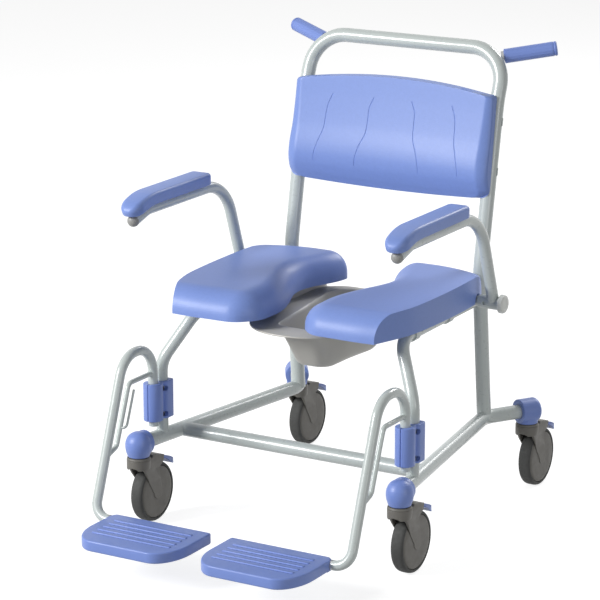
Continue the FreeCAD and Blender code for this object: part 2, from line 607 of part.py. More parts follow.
def footplate():
    """A moulded plate with ribs across its top and a boss on its hinge pin."""
    rear = HANGER_LOW_Y + PLATE_T / 2
    low_z = PLATE_Z - PLATE_T / 2
    outline = rounded_rectangle((PLATE_IN, PLATE_FRONT_Y), (PLATE_OUT, rear),
                                [PLATE_FRONT_R, PLATE_FRONT_R, PLATE_REAR_R, PLATE_REAR_R], low_z)
    plate = Part.Face(outline).extrude(Z_AXIS * PLATE_T)
    rims = [e for e in plate.Edges if e.BoundBox.ZLength < PLATE_EDGE_R]
    plate = plate.makeFillet(PLATE_EDGE_R, rims)
    boss = box((PLATE_OUT - BOSS_L, rear - BOSS_D, PLATE_Z - BOSS_T / 2),
               (PLATE_OUT, rear, PLATE_Z + BOSS_T / 2))
    plate = plate.fuse(boss.makeFillet(BOSS_EDGE_R, boss.Edges))
    middle_x = (PLATE_IN + PLATE_OUT) / 2
    for k in range(RIB_N):
        y = rear - RIB_START - RIB_PITCH * k
        low = (middle_x - RIB_L / 2, y - RIB_W / 2, PLATE_Z)
        rib = box(low, (middle_x + RIB_L / 2, y + RIB_W / 2, PLATE_Z + PLATE_T / 2 + RIB_H))
        plate = plate.fuse(rib)
    mouth = V(PLATE_OUT + SEAT_GAP, HANGER_LOW_Y, PLATE_Z)
    return plate.removeSplitter().cut(cylinder(HINGE_R + RUN_GAP, mouth, -X_AXIS, HINGE_L + SEAT_GAP))


# Castors, built with the stem on the Z axis and the wheel trailing towards +Y

def castor_fork():
    """The hooded fork, open in front of the wheel, with its axle bolt and the pedal's pin."""
    axle = V(0, TRAIL, WHEEL_R)
    drops = [(y, FORK_TOP - drop) for y, drop in FORK_ROOF]
    hook = [(y, FORK_TOP - drop) for y, drop in FORK_HOOK]
    outline = [(TRAIL - FORK_LEG_R, WHEEL_R), (FORK_FRONT, FORK_TOP - FORK_FRONT_DROP), (FORK_FRONT, FORK_TOP),
               *drops, *hook, (TRAIL + FORK_LEG_R, WHEEL_R)]
    corners = [V(0, y, z) for y, z in outline]
    edges = [Part.LineSegment(a, b).toShape() for a, b in zip(corners, corners[1:])]
    edges.append(Part.Arc(corners[-1], V(0, TRAIL, WHEEL_R - FORK_LEG_R), corners[0]).toShape())
    side = Part.Face(Part.Wire(edges))
    side.translate(X_AXIS * -AXLE_HALF)
    hood = side.extrude(X_AXIS * (2 * AXLE_HALF))
    head_z = FORK_TOP - FORK_HEAD_H
    hood = hood.fuse(cylinder(FORK_HEAD_R, V(0, 0, head_z), Z_AXIS, FORK_HEAD_H))
    well = WHEEL_W / 2 + FORK_GAP
    hood = hood.cut(cylinder(WHEEL_R + FORK_WELL, V(-well, TRAIL, WHEEL_R), X_AXIS, 2 * well))
    hood = hood.cut(box((-well, FORK_FRONT, 0), (well, TRAIL, head_z)))
    slot = PEDAL_W / 2 + PEDAL_SLOT
    slot_y = PEDAL_Y - PEDAL_R - PEDAL_ROOM
    room = [(slot_y, WHEEL_R), (slot_y, drops[1][1] - FORK_ROOF_T), (drops[1][0], drops[1][1] - FORK_ROOF_T),
            (drops[2][0], drops[2][1] - FORK_ROOF_T), (drops[2][0] + WHEEL_R, WHEEL_R)]
    hood = hood.cut(prism([V(-slot, y, z) for y, z in room], X_AXIS * (2 * slot)))
    hood = hood.cut(cylinder(STEM_R + RUN_GAP, V(0, 0, head_z), Z_AXIS, FORK_HEAD_H))
    pin = cylinder(PEDAL_PIN_R, V(-AXLE_HALF, PEDAL_Y, PEDAL_Z), X_AXIS, 2 * AXLE_HALF)
    bolt = cylinder(AXLE_R, axle - X_AXIS * AXLE_HALF, X_AXIS, 2 * AXLE_HALF)
    for end in (-AXLE_HALF - AXLE_HEAD_L, AXLE_HALF):
        bolt = bolt.fuse(cylinder(AXLE_HEAD_R, axle + X_AXIS * end, X_AXIS, AXLE_HEAD_L))
    return [hood.cut(bolt).cut(pin).removeSplitter(), bolt.removeSplitter(), pin]


def castor_hub():
    """The wheel's centre, dished on both faces round its bearing boss."""
    half = WHEEL_W / 2 - HUB_INSET
    hub = cylinder(HUB_R, V(-half, TRAIL, WHEEL_R), X_AXIS, 2 * half)
    for start in (-half, half - HUB_DISH):
        dish = cylinder(HUB_R - HUB_LAND, V(start, TRAIL, WHEEL_R), X_AXIS, HUB_DISH)
        hub = hub.cut(dish.cut(cylinder(HUB_BOSS_R, V(start, TRAIL, WHEEL_R), X_AXIS, HUB_DISH)))
    return hub.cut(cylinder(AXLE_R + RUN_GAP, V(-half, TRAIL, WHEEL_R), X_AXIS, 2 * half))


def castor_tyre():
    start = V(-WHEEL_W / 2, TRAIL, WHEEL_R)
    tyre = cylinder(WHEEL_R, start, X_AXIS, WHEEL_W)
    tyre = tyre.makeFillet(TREAD_R, [e for e in tyre.Edges if e.Closed])
    return tyre.cut(cylinder(HUB_R, start, X_AXIS, WHEEL_W))


def castor_pedal():
    """The brake lever on its pin under the fork's roof, its shoe curved round the tyre."""
    roof_y = FORK_ROOF[-1][0]
    nose_z = FORK_TOP - PEDAL_NOSE
    profile = [(PEDAL_Y, WHEEL_R), (PEDAL_TIP, nose_z - PEDAL_T), (PEDAL_TIP, nose_z),
               (PEDAL_TIP - PEDAL_T / 2, nose_z + PEDAL_T / 2), (roof_y, FORK_TOP - PEDAL_TOP),
               (PEDAL_Y, PEDAL_Z + PEDAL_R)]
    lever = prism([V(-PEDAL_W / 2, y, z) for y, z in profile], X_AXIS * PEDAL_W)
    lever = lever.cut(cylinder(WHEEL_R + PEDAL_SHOE, V(-PEDAL_W, TRAIL, WHEEL_R), X_AXIS, 2 * PEDAL_W))
    lever = lever.fuse(cylinder(PEDAL_R, V(-PEDAL_W / 2, PEDAL_Y, PEDAL_Z), X_AXIS, PEDAL_W)).removeSplitter()
    nearly = PEDAL_TIP - PEDAL_T / 4
    tip = [e for e in lever.Edges if e.CenterOfMass.y > nearly and e.BoundBox.XLength < PEDAL_T]
    lever = lever.makeFillet(PEDAL_W / 3, tip)
    return lever.cut(cylinder(PEDAL_PIN_R + RUN_GAP, V(-PEDAL_W, PEDAL_Y, PEDAL_Z), X_AXIS, 2 * PEDAL_W))


def stem_at(place):
    """The castor's stem, from inside the fork's head up into the cap."""
    low = FORK_TOP - FORK_HEAD_H + STEM_LOW
    return cylinder(STEM_R, V(place.x, place.y, low), Z_AXIS, BASE_Z - low + STEM_R)


def cap_collar(place):
    return cylinder(CAP_COLLAR_R, V(place.x, place.y, FORK_TOP + SEAT_GAP), Z_AXIS,
                    BASE_Z - FORK_TOP - SEAT_GAP)


def castor_cap(place):
    """The socket at an end of a side tube, round-ended along the tube, with a collar down to the fork."""
    way = (UPRIGHT_FOOT - place).normalize()
    start = place - way * CAP_OUT
    body = cylinder(CAP_R, start, way, CAP_OUT + CAP_IN)
    rim = [e for e in body.Edges if e.Closed and e.CenterOfMass.distanceToPoint(start) < CAP_R / 2]
    body = body.makeFillet(CAP_EDGE_R, rim).fuse(cap_collar(place)).removeSplitter()
    return body.cut(side_rod()).cut(stem_at(place))


# Output

def write(name, shape):
    """Write one node, moved so that the origin is in the middle of the plan box."""
    solids = shape if isinstance(shape, list) else shape.Solids
    node = Part.makeCompound(solids) if len(solids) > 1 else solids[0].copy()
    node.translate(Y_AXIS * -PLAN_MIDDLE_Y)
    node.exportStep("parts/" + name + ".step")
    print(name, len(solids), round(sum(s.Volume for s in solids) / 1000, 1), "cm3")


def write_pair(name, shape):
    """Write a left piece and its mirrored right twin."""
    solids = shape if isinstance(shape, list) else shape.Solids
    write(name + "_left", solids)
    write(name + "_right", [mirrored(s) for s in solids])


def main():
    os.makedirs("parts", exist_ok=True)
    write("back_frame", back_frame())
    write("cross_tube", cross_tube())
    write("commode_pan", commode_pan())
    write("back_pad", back_pad())
    write("back_clips", back_clips())
    write("seat_clips", seat_clips() + [mirrored(c) for c in seat_clips()])
    write("castor_stems", [stem_at(place) for place in CASTORS.values()])
    write("push_grip_stubs", [grip_stub(), mirrored(grip_stub())])
    write("clamp_bolts", clamp_bolts() + [mirrored(b) for b in clamp_bolts()])
    write("armrest_stub_caps", [armrest_cap(), mirrored(armrest_cap())])
    pairs = {"side_tube": side_tube(), "leg_tube": leg_tube(), "seat_pad": seat_pad(),
             "pan_rail": pan_rail(), "push_grip": push_grip(),
             "clamp_outer": clamp_half(1), "clamp_inner": clamp_half(-1), "armrest_stub": armrest_stub(),
             "armrest_tube": armrest_tube(), "armrest_tip": armrest_tip(), "armrest_pad": armrest_pad(),
             "hanger_tube": hanger_tube(), "guard_rod": guard_rod(), "footplate_pin": hinge_pin(),
             "footplate": footplate(), "castor_cap_front": castor_cap(FRONT_STEM),
             "castor_cap_rear": castor_cap(REAR_STEM)}
    for name, shape in pairs.items():
        write_pair(name, shape)
    castor = {"castor_fork": castor_fork(), "castor_hub": castor_hub(), "castor_tyre": castor_tyre(),
              "castor_pedal": castor_pedal()}
    for corner, place in CASTORS.items():
        for name, shape in castor.items():
            solids = shape if isinstance(shape, list) else shape.Solids
            write(name + "_" + corner, [s.translated(V(place.x, place.y, 0)) for s in solids])


if __name__ == "__main__":
    main()
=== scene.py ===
"""Looks of a shower commode chair, laid out as a Blender add-on and run as a script."""
import bmesh
import bpy
import json
import math
from mathutils import Matrix, Vector

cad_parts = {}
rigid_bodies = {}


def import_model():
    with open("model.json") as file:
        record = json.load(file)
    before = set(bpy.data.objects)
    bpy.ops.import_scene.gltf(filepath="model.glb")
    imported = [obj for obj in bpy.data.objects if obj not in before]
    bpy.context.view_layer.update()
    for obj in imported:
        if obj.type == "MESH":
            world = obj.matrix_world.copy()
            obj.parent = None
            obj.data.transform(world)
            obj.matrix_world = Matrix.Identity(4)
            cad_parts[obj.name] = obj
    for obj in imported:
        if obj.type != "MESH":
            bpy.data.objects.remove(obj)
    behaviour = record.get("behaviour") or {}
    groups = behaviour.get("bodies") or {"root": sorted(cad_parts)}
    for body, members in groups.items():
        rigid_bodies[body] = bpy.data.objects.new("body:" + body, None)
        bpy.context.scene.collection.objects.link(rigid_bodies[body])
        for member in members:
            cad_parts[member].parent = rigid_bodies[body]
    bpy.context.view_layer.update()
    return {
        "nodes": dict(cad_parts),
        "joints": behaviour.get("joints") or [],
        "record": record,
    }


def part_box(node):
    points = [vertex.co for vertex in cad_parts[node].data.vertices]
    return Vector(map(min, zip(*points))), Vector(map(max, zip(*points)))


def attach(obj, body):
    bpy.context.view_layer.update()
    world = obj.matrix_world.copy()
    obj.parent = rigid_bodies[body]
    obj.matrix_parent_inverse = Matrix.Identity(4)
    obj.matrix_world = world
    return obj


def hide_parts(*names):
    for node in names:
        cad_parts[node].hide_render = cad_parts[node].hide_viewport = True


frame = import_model()

bl_info = {
    "name": "Shower commode chair",
    "version": (1, 0, 0),
    "blender": (4, 5, 0),
    "location": "View3D > Sidebar > Chair",
    "description": "Models the pads, mouldings, castors and finishes of a shower commode chair",
    "category": "Add Mesh",
}

CORNERS = ("front_left", "rear_left", "front_right", "rear_right")
JOINTS = {j["name"]: j for j in frame["joints"]}
ORIGIN = (0, 0, 0)


def joint_place(name):
    """Where a joint's axis passes, in metres."""
    return Vector(JOINTS[name]["pos_m"])


PIVOT_Y = 0.207    # where the armrests' pivots lie along the chair, counted from its zero
ZERO_Y = joint_place("armrest_left_swing").y - PIVOT_Y    # where that zero lies in the frame


# Sizes and colours

def length(name, description, default):
    return bpy.props.FloatProperty(name=name, description=description, default=default, unit="LENGTH",
                                   subtype="DISTANCE", precision=4)


def colour(name, description, default):
    return bpy.props.FloatVectorProperty(name=name, description=description, default=default,
                                         subtype="COLOR", size=3, min=0, max=1)


class ChairSizes(bpy.types.PropertyGroup):
    """Sizes of the chair's soft and moulded pieces"""
    seat_top: length("Seat top", "Height of the seat's crown", 0.508)
    seat_roll: length("Seat roll", "Radius of the seat's rolled front edge", 0.054)
    edge: length("Pad edge", "Radius of a pad's crisp moulded edge", 0.0022)
    back_sag: length("Backrest hollow", "How far the backrest curves back in its middle", 0.016)
    back_arch: length("Backrest arch", "How far the backrest's top edge rises in its middle", 0.016)
    groove: length("Groove width", "Half width of the backrest's moulded grooves", 0.0013)
    arm_crown: length("Armrest crown", "How far an armrest's top is domed", 0.0022)
    arm_crease: length("Armrest crease", "Radius of an armrest's top edges", 0.0060)
    rib: length("Rib height", "Height of the footplate's ribs", 0.0016)
    plate_edge: length("Footplate edge", "Radius of the footplate's rim", 0.0055)
    clamp_edge: length("Clamp edge", "Radius of the footrest clamp's edges", 0.0015)
    flute: length("Grip flute", "Depth of the flutes along a push grip", 0.0004)


class ChairColours(bpy.types.PropertyGroup):
    """Colours of the chair's finishes"""
    foam: colour("Foam skin", "Blue of the moulded pads", (0.205, 0.300, 0.665))
    mould: colour("Mouldings", "Blue of clamps, caps, pedals and footplates", (0.185, 0.272, 0.640))
    paint: colour("Tube paint", "Powder coat of the tubes", (0.515, 0.565, 0.550))
    pan: colour("Pan", "Plastic of the commode pan", (0.52, 0.505, 0.460))
    fork: colour("Castor fork", "Plastic of the castor's hood", (0.138, 0.131, 0.117))
    disc: colour("Wheel disc", "Plastic of the wheel's centre", (0.126, 0.120, 0.107))
    tyre: colour("Tyre", "Rubber of the tyre", (0.062, 0.063, 0.061))
    cap: colour("End cap", "Plastic of the armrest's end caps", (0.30, 0.30, 0.29))
    stub: colour("Stub cap", "Plastic of the caps beside the seat", (0.78, 0.80, 0.77))
    # Near-black: the bolts' own black, which also stands in as painted shade in the deep sunk holes round
    # their heads
    bolt: colour("Clamp bolts", "Blackened bolts of the footrest clamps", (0.012, 0.012, 0.014))
    steel: colour("Steel", "Plated stems, pins and other hardware", (0.45, 0.46, 0.47))


# Working in Blender

SHARP = 50            # degrees between two faces, from which their edge is taken for a sharp one
MERGE = 0.00002       # how close two vertices lie that are taken for one
PAD_SMOOTH = 40       # degrees between two faces, up to which a pad's skin is shaded smooth
PULL = 0.1            # how far a pad's face is pulled, before the new face is put in its place


def fresh():
    """Back to object mode with nothing selected."""
    if bpy.context.object and bpy.context.object.mode != "OBJECT":
        bpy.ops.object.mode_set(mode="OBJECT")
    bpy.ops.object.select_all(action="DESELECT")


def choose(obj):
    fresh()
    obj.select_set(True)
    bpy.context.view_layer.objects.active = obj


def called(name):
    """Name the object that an operator has just added."""
    obj = bpy.context.object
    obj.name = name
    obj.data.name = name
    return obj


def into_edit(kind="VERT"):
    bpy.ops.object.mode_set(mode="EDIT")
    bpy.ops.mesh.select_mode(type=kind)


def out_of_edit():
    bpy.ops.object.mode_set(mode="OBJECT")


def pick(kind, test):
    """In edit mode, select the vertices, edges or faces that pass a test."""
    bpy.ops.mesh.select_all(action="DESELECT")
    mesh = bpy.context.object.data
    work = bmesh.from_edit_mesh(mesh)
    work.normal_update()
    found = [e for e in getattr(work, kind) if test(e)]
    for e in found:
        e.select_set(True)
    work.select_flush_mode()
    bmesh.update_edit_mesh(mesh)
    return len(found)


def middle(element):
    points = [v.co for v in element.verts]
    return sum(points, Vector()) / len(points)


def steep(edge, angle=SHARP):
    """An edge whose two faces meet at more than an angle, in degrees."""
    return len(edge.link_faces) == 2 and edge.calc_face_angle() > math.radians(angle)


def outward():
    """In edit mode, merge what lies together and turn all faces outwards."""
    bpy.ops.mesh.select_all(action="SELECT")
    bpy.ops.mesh.remove_doubles(threshold=MERGE)
    bpy.ops.mesh.normals_make_consistent(inside=False)


def clean(obj):
    """Merge what lies together on a piece and turn all its faces outwards."""
    choose(obj)
    into_edit()
    outward()
    out_of_edit()
    return obj


def pull(obj, way):
    """Extrude a whole sheet by a vector, and stay in edit mode with the new faces selected."""
    choose(obj)
    into_edit("FACE")
    bpy.ops.mesh.select_all(action="SELECT")
    bpy.ops.mesh.extrude_region_move(TRANSFORM_OT_translate={"value": Vector(way)})


def apply(obj, kind, **settings):
    """Add a modifier, set it and apply it."""
    choose(obj)
    modifier = obj.modifiers.new(kind.title(), kind)
    for key, value in settings.items():
        setattr(modifier, key, value)
    bpy.ops.object.modifier_apply(modifier=modifier.name)


def carve(obj, cutter, operation="DIFFERENCE"):
    """Cut one object with another, or join it on, and remove the second."""
    apply(obj, "BOOLEAN", object=cutter, operation=operation, solver="EXACT")
    bpy.data.objects.remove(cutter)


def rod(name, start, end, radius, sides=48):
    """A round bar between two points."""
    fresh()
    start, end = Vector(start), Vector(end)
    bpy.ops.mesh.primitive_cylinder_add(vertices=sides, radius=radius, depth=(end - start).length)
    obj = called(name)
    turn = (end - start).to_track_quat("Z", "Y").to_matrix().to_4x4()
    obj.data.transform(Matrix.Translation((start + end) / 2) @ turn)
    return obj


def block(name, low, high):
    """A box between two corners."""
    fresh()
    low, high = Vector(low), Vector(high)
    bpy.ops.mesh.primitive_cube_add(size=1)
    obj = called(name)
    obj.data.transform(Matrix.Translation((low + high) / 2) @ Matrix.Diagonal((*(high - low), 1)))
    return obj


def slab(name, outline, thickness):
    """A flat outline filled and extruded by a vector."""
    fresh()
    bpy.ops.mesh.primitive_circle_add(vertices=len(outline), fill_type="NGON")
    obj = called(name)
    for vertex, place in zip(obj.data.vertices, outline):
        vertex.co = place
    pull(obj, thickness)
    outward()
    out_of_edit()
    return obj


def sheet(name, across, along, place):
    """A grid whose vertices are moved by a function of how far across and along they lie, each 0 to 1."""
    fresh()
    bpy.ops.mesh.primitive_grid_add(x_subdivisions=across, y_subdivisions=along, size=1)
    obj = called(name)
    for vertex in obj.data.vertices:
        vertex.co = place(vertex.co.x + 0.5, vertex.co.y + 0.5)
    return obj


def lathe(name, profile, steps=64, centre=ORIGIN):
    """Spin a profile of (out, along) points about the X axis through a centre."""
    fresh()
    bpy.ops.mesh.primitive_circle_add(vertices=len(profile))
    obj = called(name)
    for vertex, (out, along) in zip(obj.data.vertices, profile):
        vertex.co = Vector(centre) + Vector((along, 0, out))
    into_edit()
    bpy.ops.mesh.select_all(action="SELECT")
    bpy.ops.mesh.spin(steps=steps, angle=2 * math.pi, center=centre, axis=(1, 0, 0))
    bpy.ops.mesh.select_all(action="SELECT")
    bpy.ops.mesh.remove_doubles(threshold=MERGE)
    bpy.ops.mesh.delete_loose()
    outward()
    out_of_edit()
    return obj


def loft(name, around, along, place):
    """A skin swept round by its first share and along by its second, its open ends filled."""
    obj = sheet(name, around, along, place)
    into_edit("EDGE")
    outward()
    if pick("edges", lambda e: len(e.link_faces) == 1):
        bpy.ops.mesh.edge_face_add()
    outward()
    out_of_edit()
    return obj


def wire(name, points, radius):
    """A thin round bar along a line of points."""
    fresh()
    bpy.ops.curve.primitive_nurbs_path_add()
    path = bpy.context.object
    spline = path.data.splines[0]
    spline.type = "POLY"
    spline.points.add(len(points) - len(spline.points))
    for point, place in zip(spline.points, points):
        point.co = (*place, 1)
    path.data.bevel_depth = radius
    path.data.use_fill_caps = True
    choose(path)
    bpy.ops.object.convert(target="MESH")
    return called(name)


def aim(obj, way, start):
    """Turn a piece that was spun about the X axis so that it lies along a direction from a point."""
    obj.data.transform(Matrix.Translation(start) @ Vector(way).to_track_quat("X", "Z").to_matrix().to_4x4())
    return obj


def copy_of(node, name):
    """A merged copy of a CAD node's shape, to be worked further."""
    choose(frame["nodes"][node])
    bpy.ops.object.duplicate()
    obj = called(name)
    for key in list(obj.keys()):
        del obj[key]
    bpy.ops.object.parent_clear(type="CLEAR_KEEP_TRANSFORM")
    return clean(obj)


def soften(obj, voxel, passes, keep):
    """Round all edges of a moulding a little: an even skin, smoothed and thinned out again."""
    apply(obj, "REMESH", mode="VOXEL", voxel_size=voxel)
    apply(obj, "SMOOTH", factor=0.5, iterations=passes)
    apply(obj, "DECIMATE", ratio=keep)
    return clean(obj)


def round_edges(obj, width, segments, test=steep):
    """Bevel the edges that pass a test."""
    choose(obj)
    into_edit("EDGE")
    if pick("edges", test):
        bpy.ops.mesh.bevel(offset=width, offset_type="OFFSET", segments=segments, profile=0.5,
                           clamp_overlap=True)
    outward()
    out_of_edit()


def join(first, *others):
    choose(first)
    for other in others:
        other.select_set(True)
    bpy.ops.object.join()
    return first


def smooth_step(knots, values, k, at):
    """The value at a place between knot k and the next one, on a smooth curve through all values."""
    span = knots[k + 1] - knots[k]
    s = (at - knots[k]) / span

    def slope(i):
        i0, i1 = max(i - 1, 0), min(i + 1, len(values) - 1)
        return (values[i1] - values[i0]) / (knots[i1] - knots[i0]) * span
    h = (2 * s ** 3 - 3 * s ** 2 + 1, s ** 3 - 2 * s ** 2 + s, 3 * s ** 2 - 2 * s ** 3, s ** 3 - s ** 2)
    return values[k] * h[0] + slope(k) * h[1] + values[k + 1] * h[2] + slope(k + 1) * h[3]


def smooth_line(points, t):
    """A point at a share of the way along a smooth curve through the points, spaced by their distances."""
    knots = [0.0]
    for a, b in zip(points, points[1:]):
        knots.append(knots[-1] + (b - a).length)
    at = t * knots[-1]
    k = min(max(i for i, knot in enumerate(knots) if knot <= at + 1e-9), len(points) - 2)
    return smooth_step(knots, points, k, at)


def level(table, at):
    """A smooth value read from a table of (place, value) pairs in rising order."""
    knots, values = zip(*[Vector(pair) for pair in table])
    if at <= knots[0]:
        return values[0]
    if at >= knots[-1]:
        return values[-1]
    k = max(i for i in range(len(knots) - 1) if knots[i] <= at)
    return smooth_step(knots, values, k, at)


def mm(*points):
    """Points given in millimetres, in metres."""
    return [Vector(p).to_3d() / 1000 for p in points]


def plan(*points):
    """Points given in millimetres and counted from the chair's zero, in the frame."""
    return [p + Vector((0, ZERO_Y, 0)) for p in mm(*points)]


def lathe_points(*points):
    """A lathe's (out, along) points given in millimetres, in metres."""
    return [(p.x, p.y) for p in mm(*points)]


def arc(centre, radius, first, last, steps):
    """Points on an arc, its angles in degrees."""
    angles = [math.radians(first + (last - first) * i / steps) for i in range(steps + 1)]
    return [(centre[0] + radius * math.cos(a), centre[1] + radius * math.sin(a)) for a in angles]


def rounded(corners, radii, steps=8):
    """The outline of a polygon with each corner rounded off."""
    outline = []
    for i, corner in enumerate(corners):
        corner = Vector(corner)
        back = (Vector(corners[i - 1]) - corner).normalized()
        ahead = (Vector(corners[(i + 1) % len(corners)]) - corner).normalized()
        half = back.angle(ahead) / 2
        run = radii[i] / math.tan(half)
        centre = corner + (back + ahead).normalized() * radii[i] / math.sin(half)
        first, last = corner + back * run - centre, corner + ahead * run - centre
        for k in range(steps + 1):
            outline.append(tuple(centre + first.lerp(last, k / steps).normalized() * radii[i]))
    return outline


def oblong(low, high, radii, steps):
    """The outline of a rectangle between two corners, each of its four corners rounded off."""
    return rounded([low, (high[0], low[1]), high, (low[0], high[1])], radii, steps)


def at_height(outline, z):
    """A plan outline at a height."""
    return [(x, y, z) for x, y in outline]


def twin(obj, name):
    """The mirror image of a piece on the chair's other side, with its own mesh."""
    choose(obj)
    bpy.ops.object.duplicate()
    other = called(name)
    bpy.ops.transform.resize(value=(-1, 1, 1), center_override=ORIGIN)
    bpy.ops.object.transform_apply(location=True, rotation=True, scale=True)
    into_edit()
    bpy.ops.mesh.select_all(action="SELECT")
    bpy.ops.mesh.normals_make_consistent(inside=False)
    out_of_edit()
    return other


def moved_copy(obj, name, shift):
    choose(obj)
    bpy.ops.object.duplicate()
    other = called(name)
    other.data.transform(Matrix.Translation(shift))
    return other


def settle(obj, body, slot, finish, nodes, angle=35):
    """Give a finished piece its material and its place on a body, and hide the CAD nodes that it stands for.
    """
    choose(obj)
    bpy.ops.object.shade_smooth_by_angle(angle=math.radians(angle))
    obj.data.materials.clear()
    obj.data.materials.append(finish)
    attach(obj, body)
    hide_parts(*nodes)


def settle_pair(left, body, slot, finish, node, angle=35):
    """Settle a left-hand piece and its twin. A node, and a body that ends in _, takes the side's name."""
    pieces = left, twin(left, left.name.replace("left", "right"))
    for obj, side in zip(pieces, ("left", "right")):
        settle(obj, body + side if body.endswith("_") else body, slot, finish, [node + side], angle)
    return pieces


# Finishes

class Finish:
    """A material's node tree, built a node at a time on the piece's own coordinates."""

    def __init__(self, name):
        self.material = bpy.data.materials.new(name)
        self.material.use_nodes = True
        self.tree = self.material.node_tree
        self.shader = self.tree.nodes["Principled BSDF"]
        self.place = self.node("ShaderNodeTexCoord").outputs["Object"]

    def node(self, kind, **settings):
        node = self.tree.nodes.new(kind)
        for key, value in settings.items():
            setattr(node, key, value)
        return node

    def link(self, start, end):
        self.tree.links.new(start, end)

    def set(self, **values):
        for key, value in values.items():
            self.shader.inputs[key.replace("_", " ")].default_value = value

    def noise(self, scale, detail=3.0, rough=0.5):
        noise = self.node("ShaderNodeTexNoise")
        noise.inputs["Scale"].default_value = scale
        noise.inputs["Detail"].default_value = detail
        noise.inputs["Roughness"].default_value = rough
        self.link(self.place, noise.inputs["Vector"])
        return noise.outputs["Fac"]

    def cells(self, scale):
        cells = self.node("ShaderNodeTexVoronoi", feature="SMOOTH_F1")
        cells.inputs["Scale"].default_value = scale
        cells.inputs["Smoothness"].default_value = 0.6
        self.link(self.place, cells.inputs["Vector"])
        return cells.outputs["Distance"]

    def tint(self, value, base, spread):
        """Base colour that drifts a little darker and lighter with a value."""
        ramp = self.node("ShaderNodeValToRGB")
        low, high = ramp.color_ramp.elements
        low.position, high.position = 0.3, 0.7
        low.color = (*[c * (1 - spread) for c in base], 1)
        high.color = (*[min(1, c * (1 + spread)) for c in base], 1)
        self.link(value, ramp.inputs["Fac"])
        self.link(ramp.outputs["Color"], self.shader.inputs["Base Color"])

    def gloss(self, value, low, high):
        """Roughness that drifts with a value."""
        span = self.node("ShaderNodeMapRange")
        span.inputs["From Min"].default_value = 0.3
        span.inputs["From Max"].default_value = 0.7
        span.inputs["To Min"].default_value = low
        span.inputs["To Max"].default_value = high
        self.link(value, span.inputs["Value"])
        self.link(span.outputs["Result"], self.shader.inputs["Roughness"])

    def relief(self, value, depth, strength=1.0):
        """Bumps of a depth in metres, on top of any bumps added before."""
        bump = self.node("ShaderNodeBump")
        bump.inputs["Strength"].default_value = strength
        bump.inputs["Distance"].default_value = depth
        self.link(value, bump.inputs["Height"])
        normal = self.shader.inputs["Normal"]
        if normal.is_linked:
            self.link(normal.links[0].from_socket, bump.inputs["Normal"])
        self.link(bump.outputs["Normal"], normal)


def foam_skin(base):
    """Integral-skin foam: a fine leathery grain, a soft sheen and a faint drift of colour."""
    f = Finish("foam_skin")
    f.set(Specular_IOR_Level=0.38)
    f.tint(f.noise(160, 3), base, 0.02)
    f.gloss(f.noise(240), 0.41, 0.44)
    f.relief(f.cells(420), 0.00024, 0.4)
    f.relief(f.noise(2600, 2), 0.00005, 0.3)
    return f.material


def moulded(name, base, low, high, grain=1400, depth=0.00004):
    """Injection-moulded plastic with a spark-eroded texture."""
    f = Finish(name)
    f.set(Specular_IOR_Level=0.5)
    f.tint(f.noise(14, 2), base, 0.03)
    f.gloss(f.noise(90), low, high)
    f.relief(f.noise(grain, 2), depth, 0.5)
    return f.material


def powder_coat(base):
    """Glossy powder coat with a slight orange peel."""
    f = Finish("powder_coat")
    f.set(Specular_IOR_Level=0.7, Coat_Weight=0.3, Coat_Roughness=0.15)
    f.tint(f.noise(7, 2), base, 0.012)
    f.gloss(f.noise(120), 0.26, 0.34)
    f.relief(f.noise(420, 1), 0.00003, 0.2)
    return f.material


def rubber(base):
    f = Finish("tyre_rubber")
    f.set(Specular_IOR_Level=0.35)
    f.tint(f.noise(30, 3), base, 0.10)
    f.gloss(f.noise(150), 0.62, 0.78)
    f.relief(f.noise(1800, 3), 0.00006, 0.6)
    return f.material


def plated(base):
    f = Finish("plated_steel")
    f.set(Metallic=1.0)
    f.tint(f.noise(40, 3), base, 0.06)
    f.gloss(f.noise(300, 3), 0.28, 0.42)
    f.relief(f.noise(900, 2), 0.00002, 0.4)
    return f.material


FINISHES = {}
# CAD nodes with another finish than their slot's
# The clamp bolts' near-black finish is their own black and also painted shade in their sunk holes
PAINTED = {"seat_clips": "tube_white", "clamp_bolts": "bolt_black_and_shade"}


class CHAIR_OT_finishes(bpy.types.Operator):
    """Make the finishes and paint the tubes and small hardware"""
    bl_idname = "chair.finishes"
    bl_label = "Finishes"

    def execute(self, context):
        c = context.scene.chair_colours
        FINISHES.update({
            "pad_blue": foam_skin(c.foam),
            "mould_blue": moulded("blue_moulding", c.mould, 0.34, 0.46),
            "tube_white": powder_coat(c.paint),
            "pan_grey": moulded("pan_plastic", c.pan, 0.34, 0.44, 900, 0.00003),
            "fork_grey": moulded("fork_plastic", c.fork, 0.46, 0.58),
            "hub_grey": moulded("disc_plastic", c.disc, 0.46, 0.60),
            "tyre_grey": rubber(c.tyre),
            "cap_grey": moulded("cap_plastic", c.cap, 0.38, 0.48),
            "stub_cap": moulded("stub_cap_plastic", c.stub, 0.34, 0.44),
            "grip_blue": moulded("grip_skin", c.mould, 0.42, 0.54, 1100, 0.00006),
            # Black bolts, whose near-black also paints the shade in the clamp's sunk bolt holes
            "bolt_black_and_shade": moulded("black_bolts", c.bolt, 0.40, 0.55),
            "steel": plated(c.steel),
        })
        for part in frame["record"]["subparts"]:
            node = frame["nodes"][part["node"]]
            node.data.materials.clear()
            look = PAINTED.get(part["node"], part["material_slot"])
            node.data.materials.append(FINISHES[look])
        return {"FINISHED"}


# Seat halves

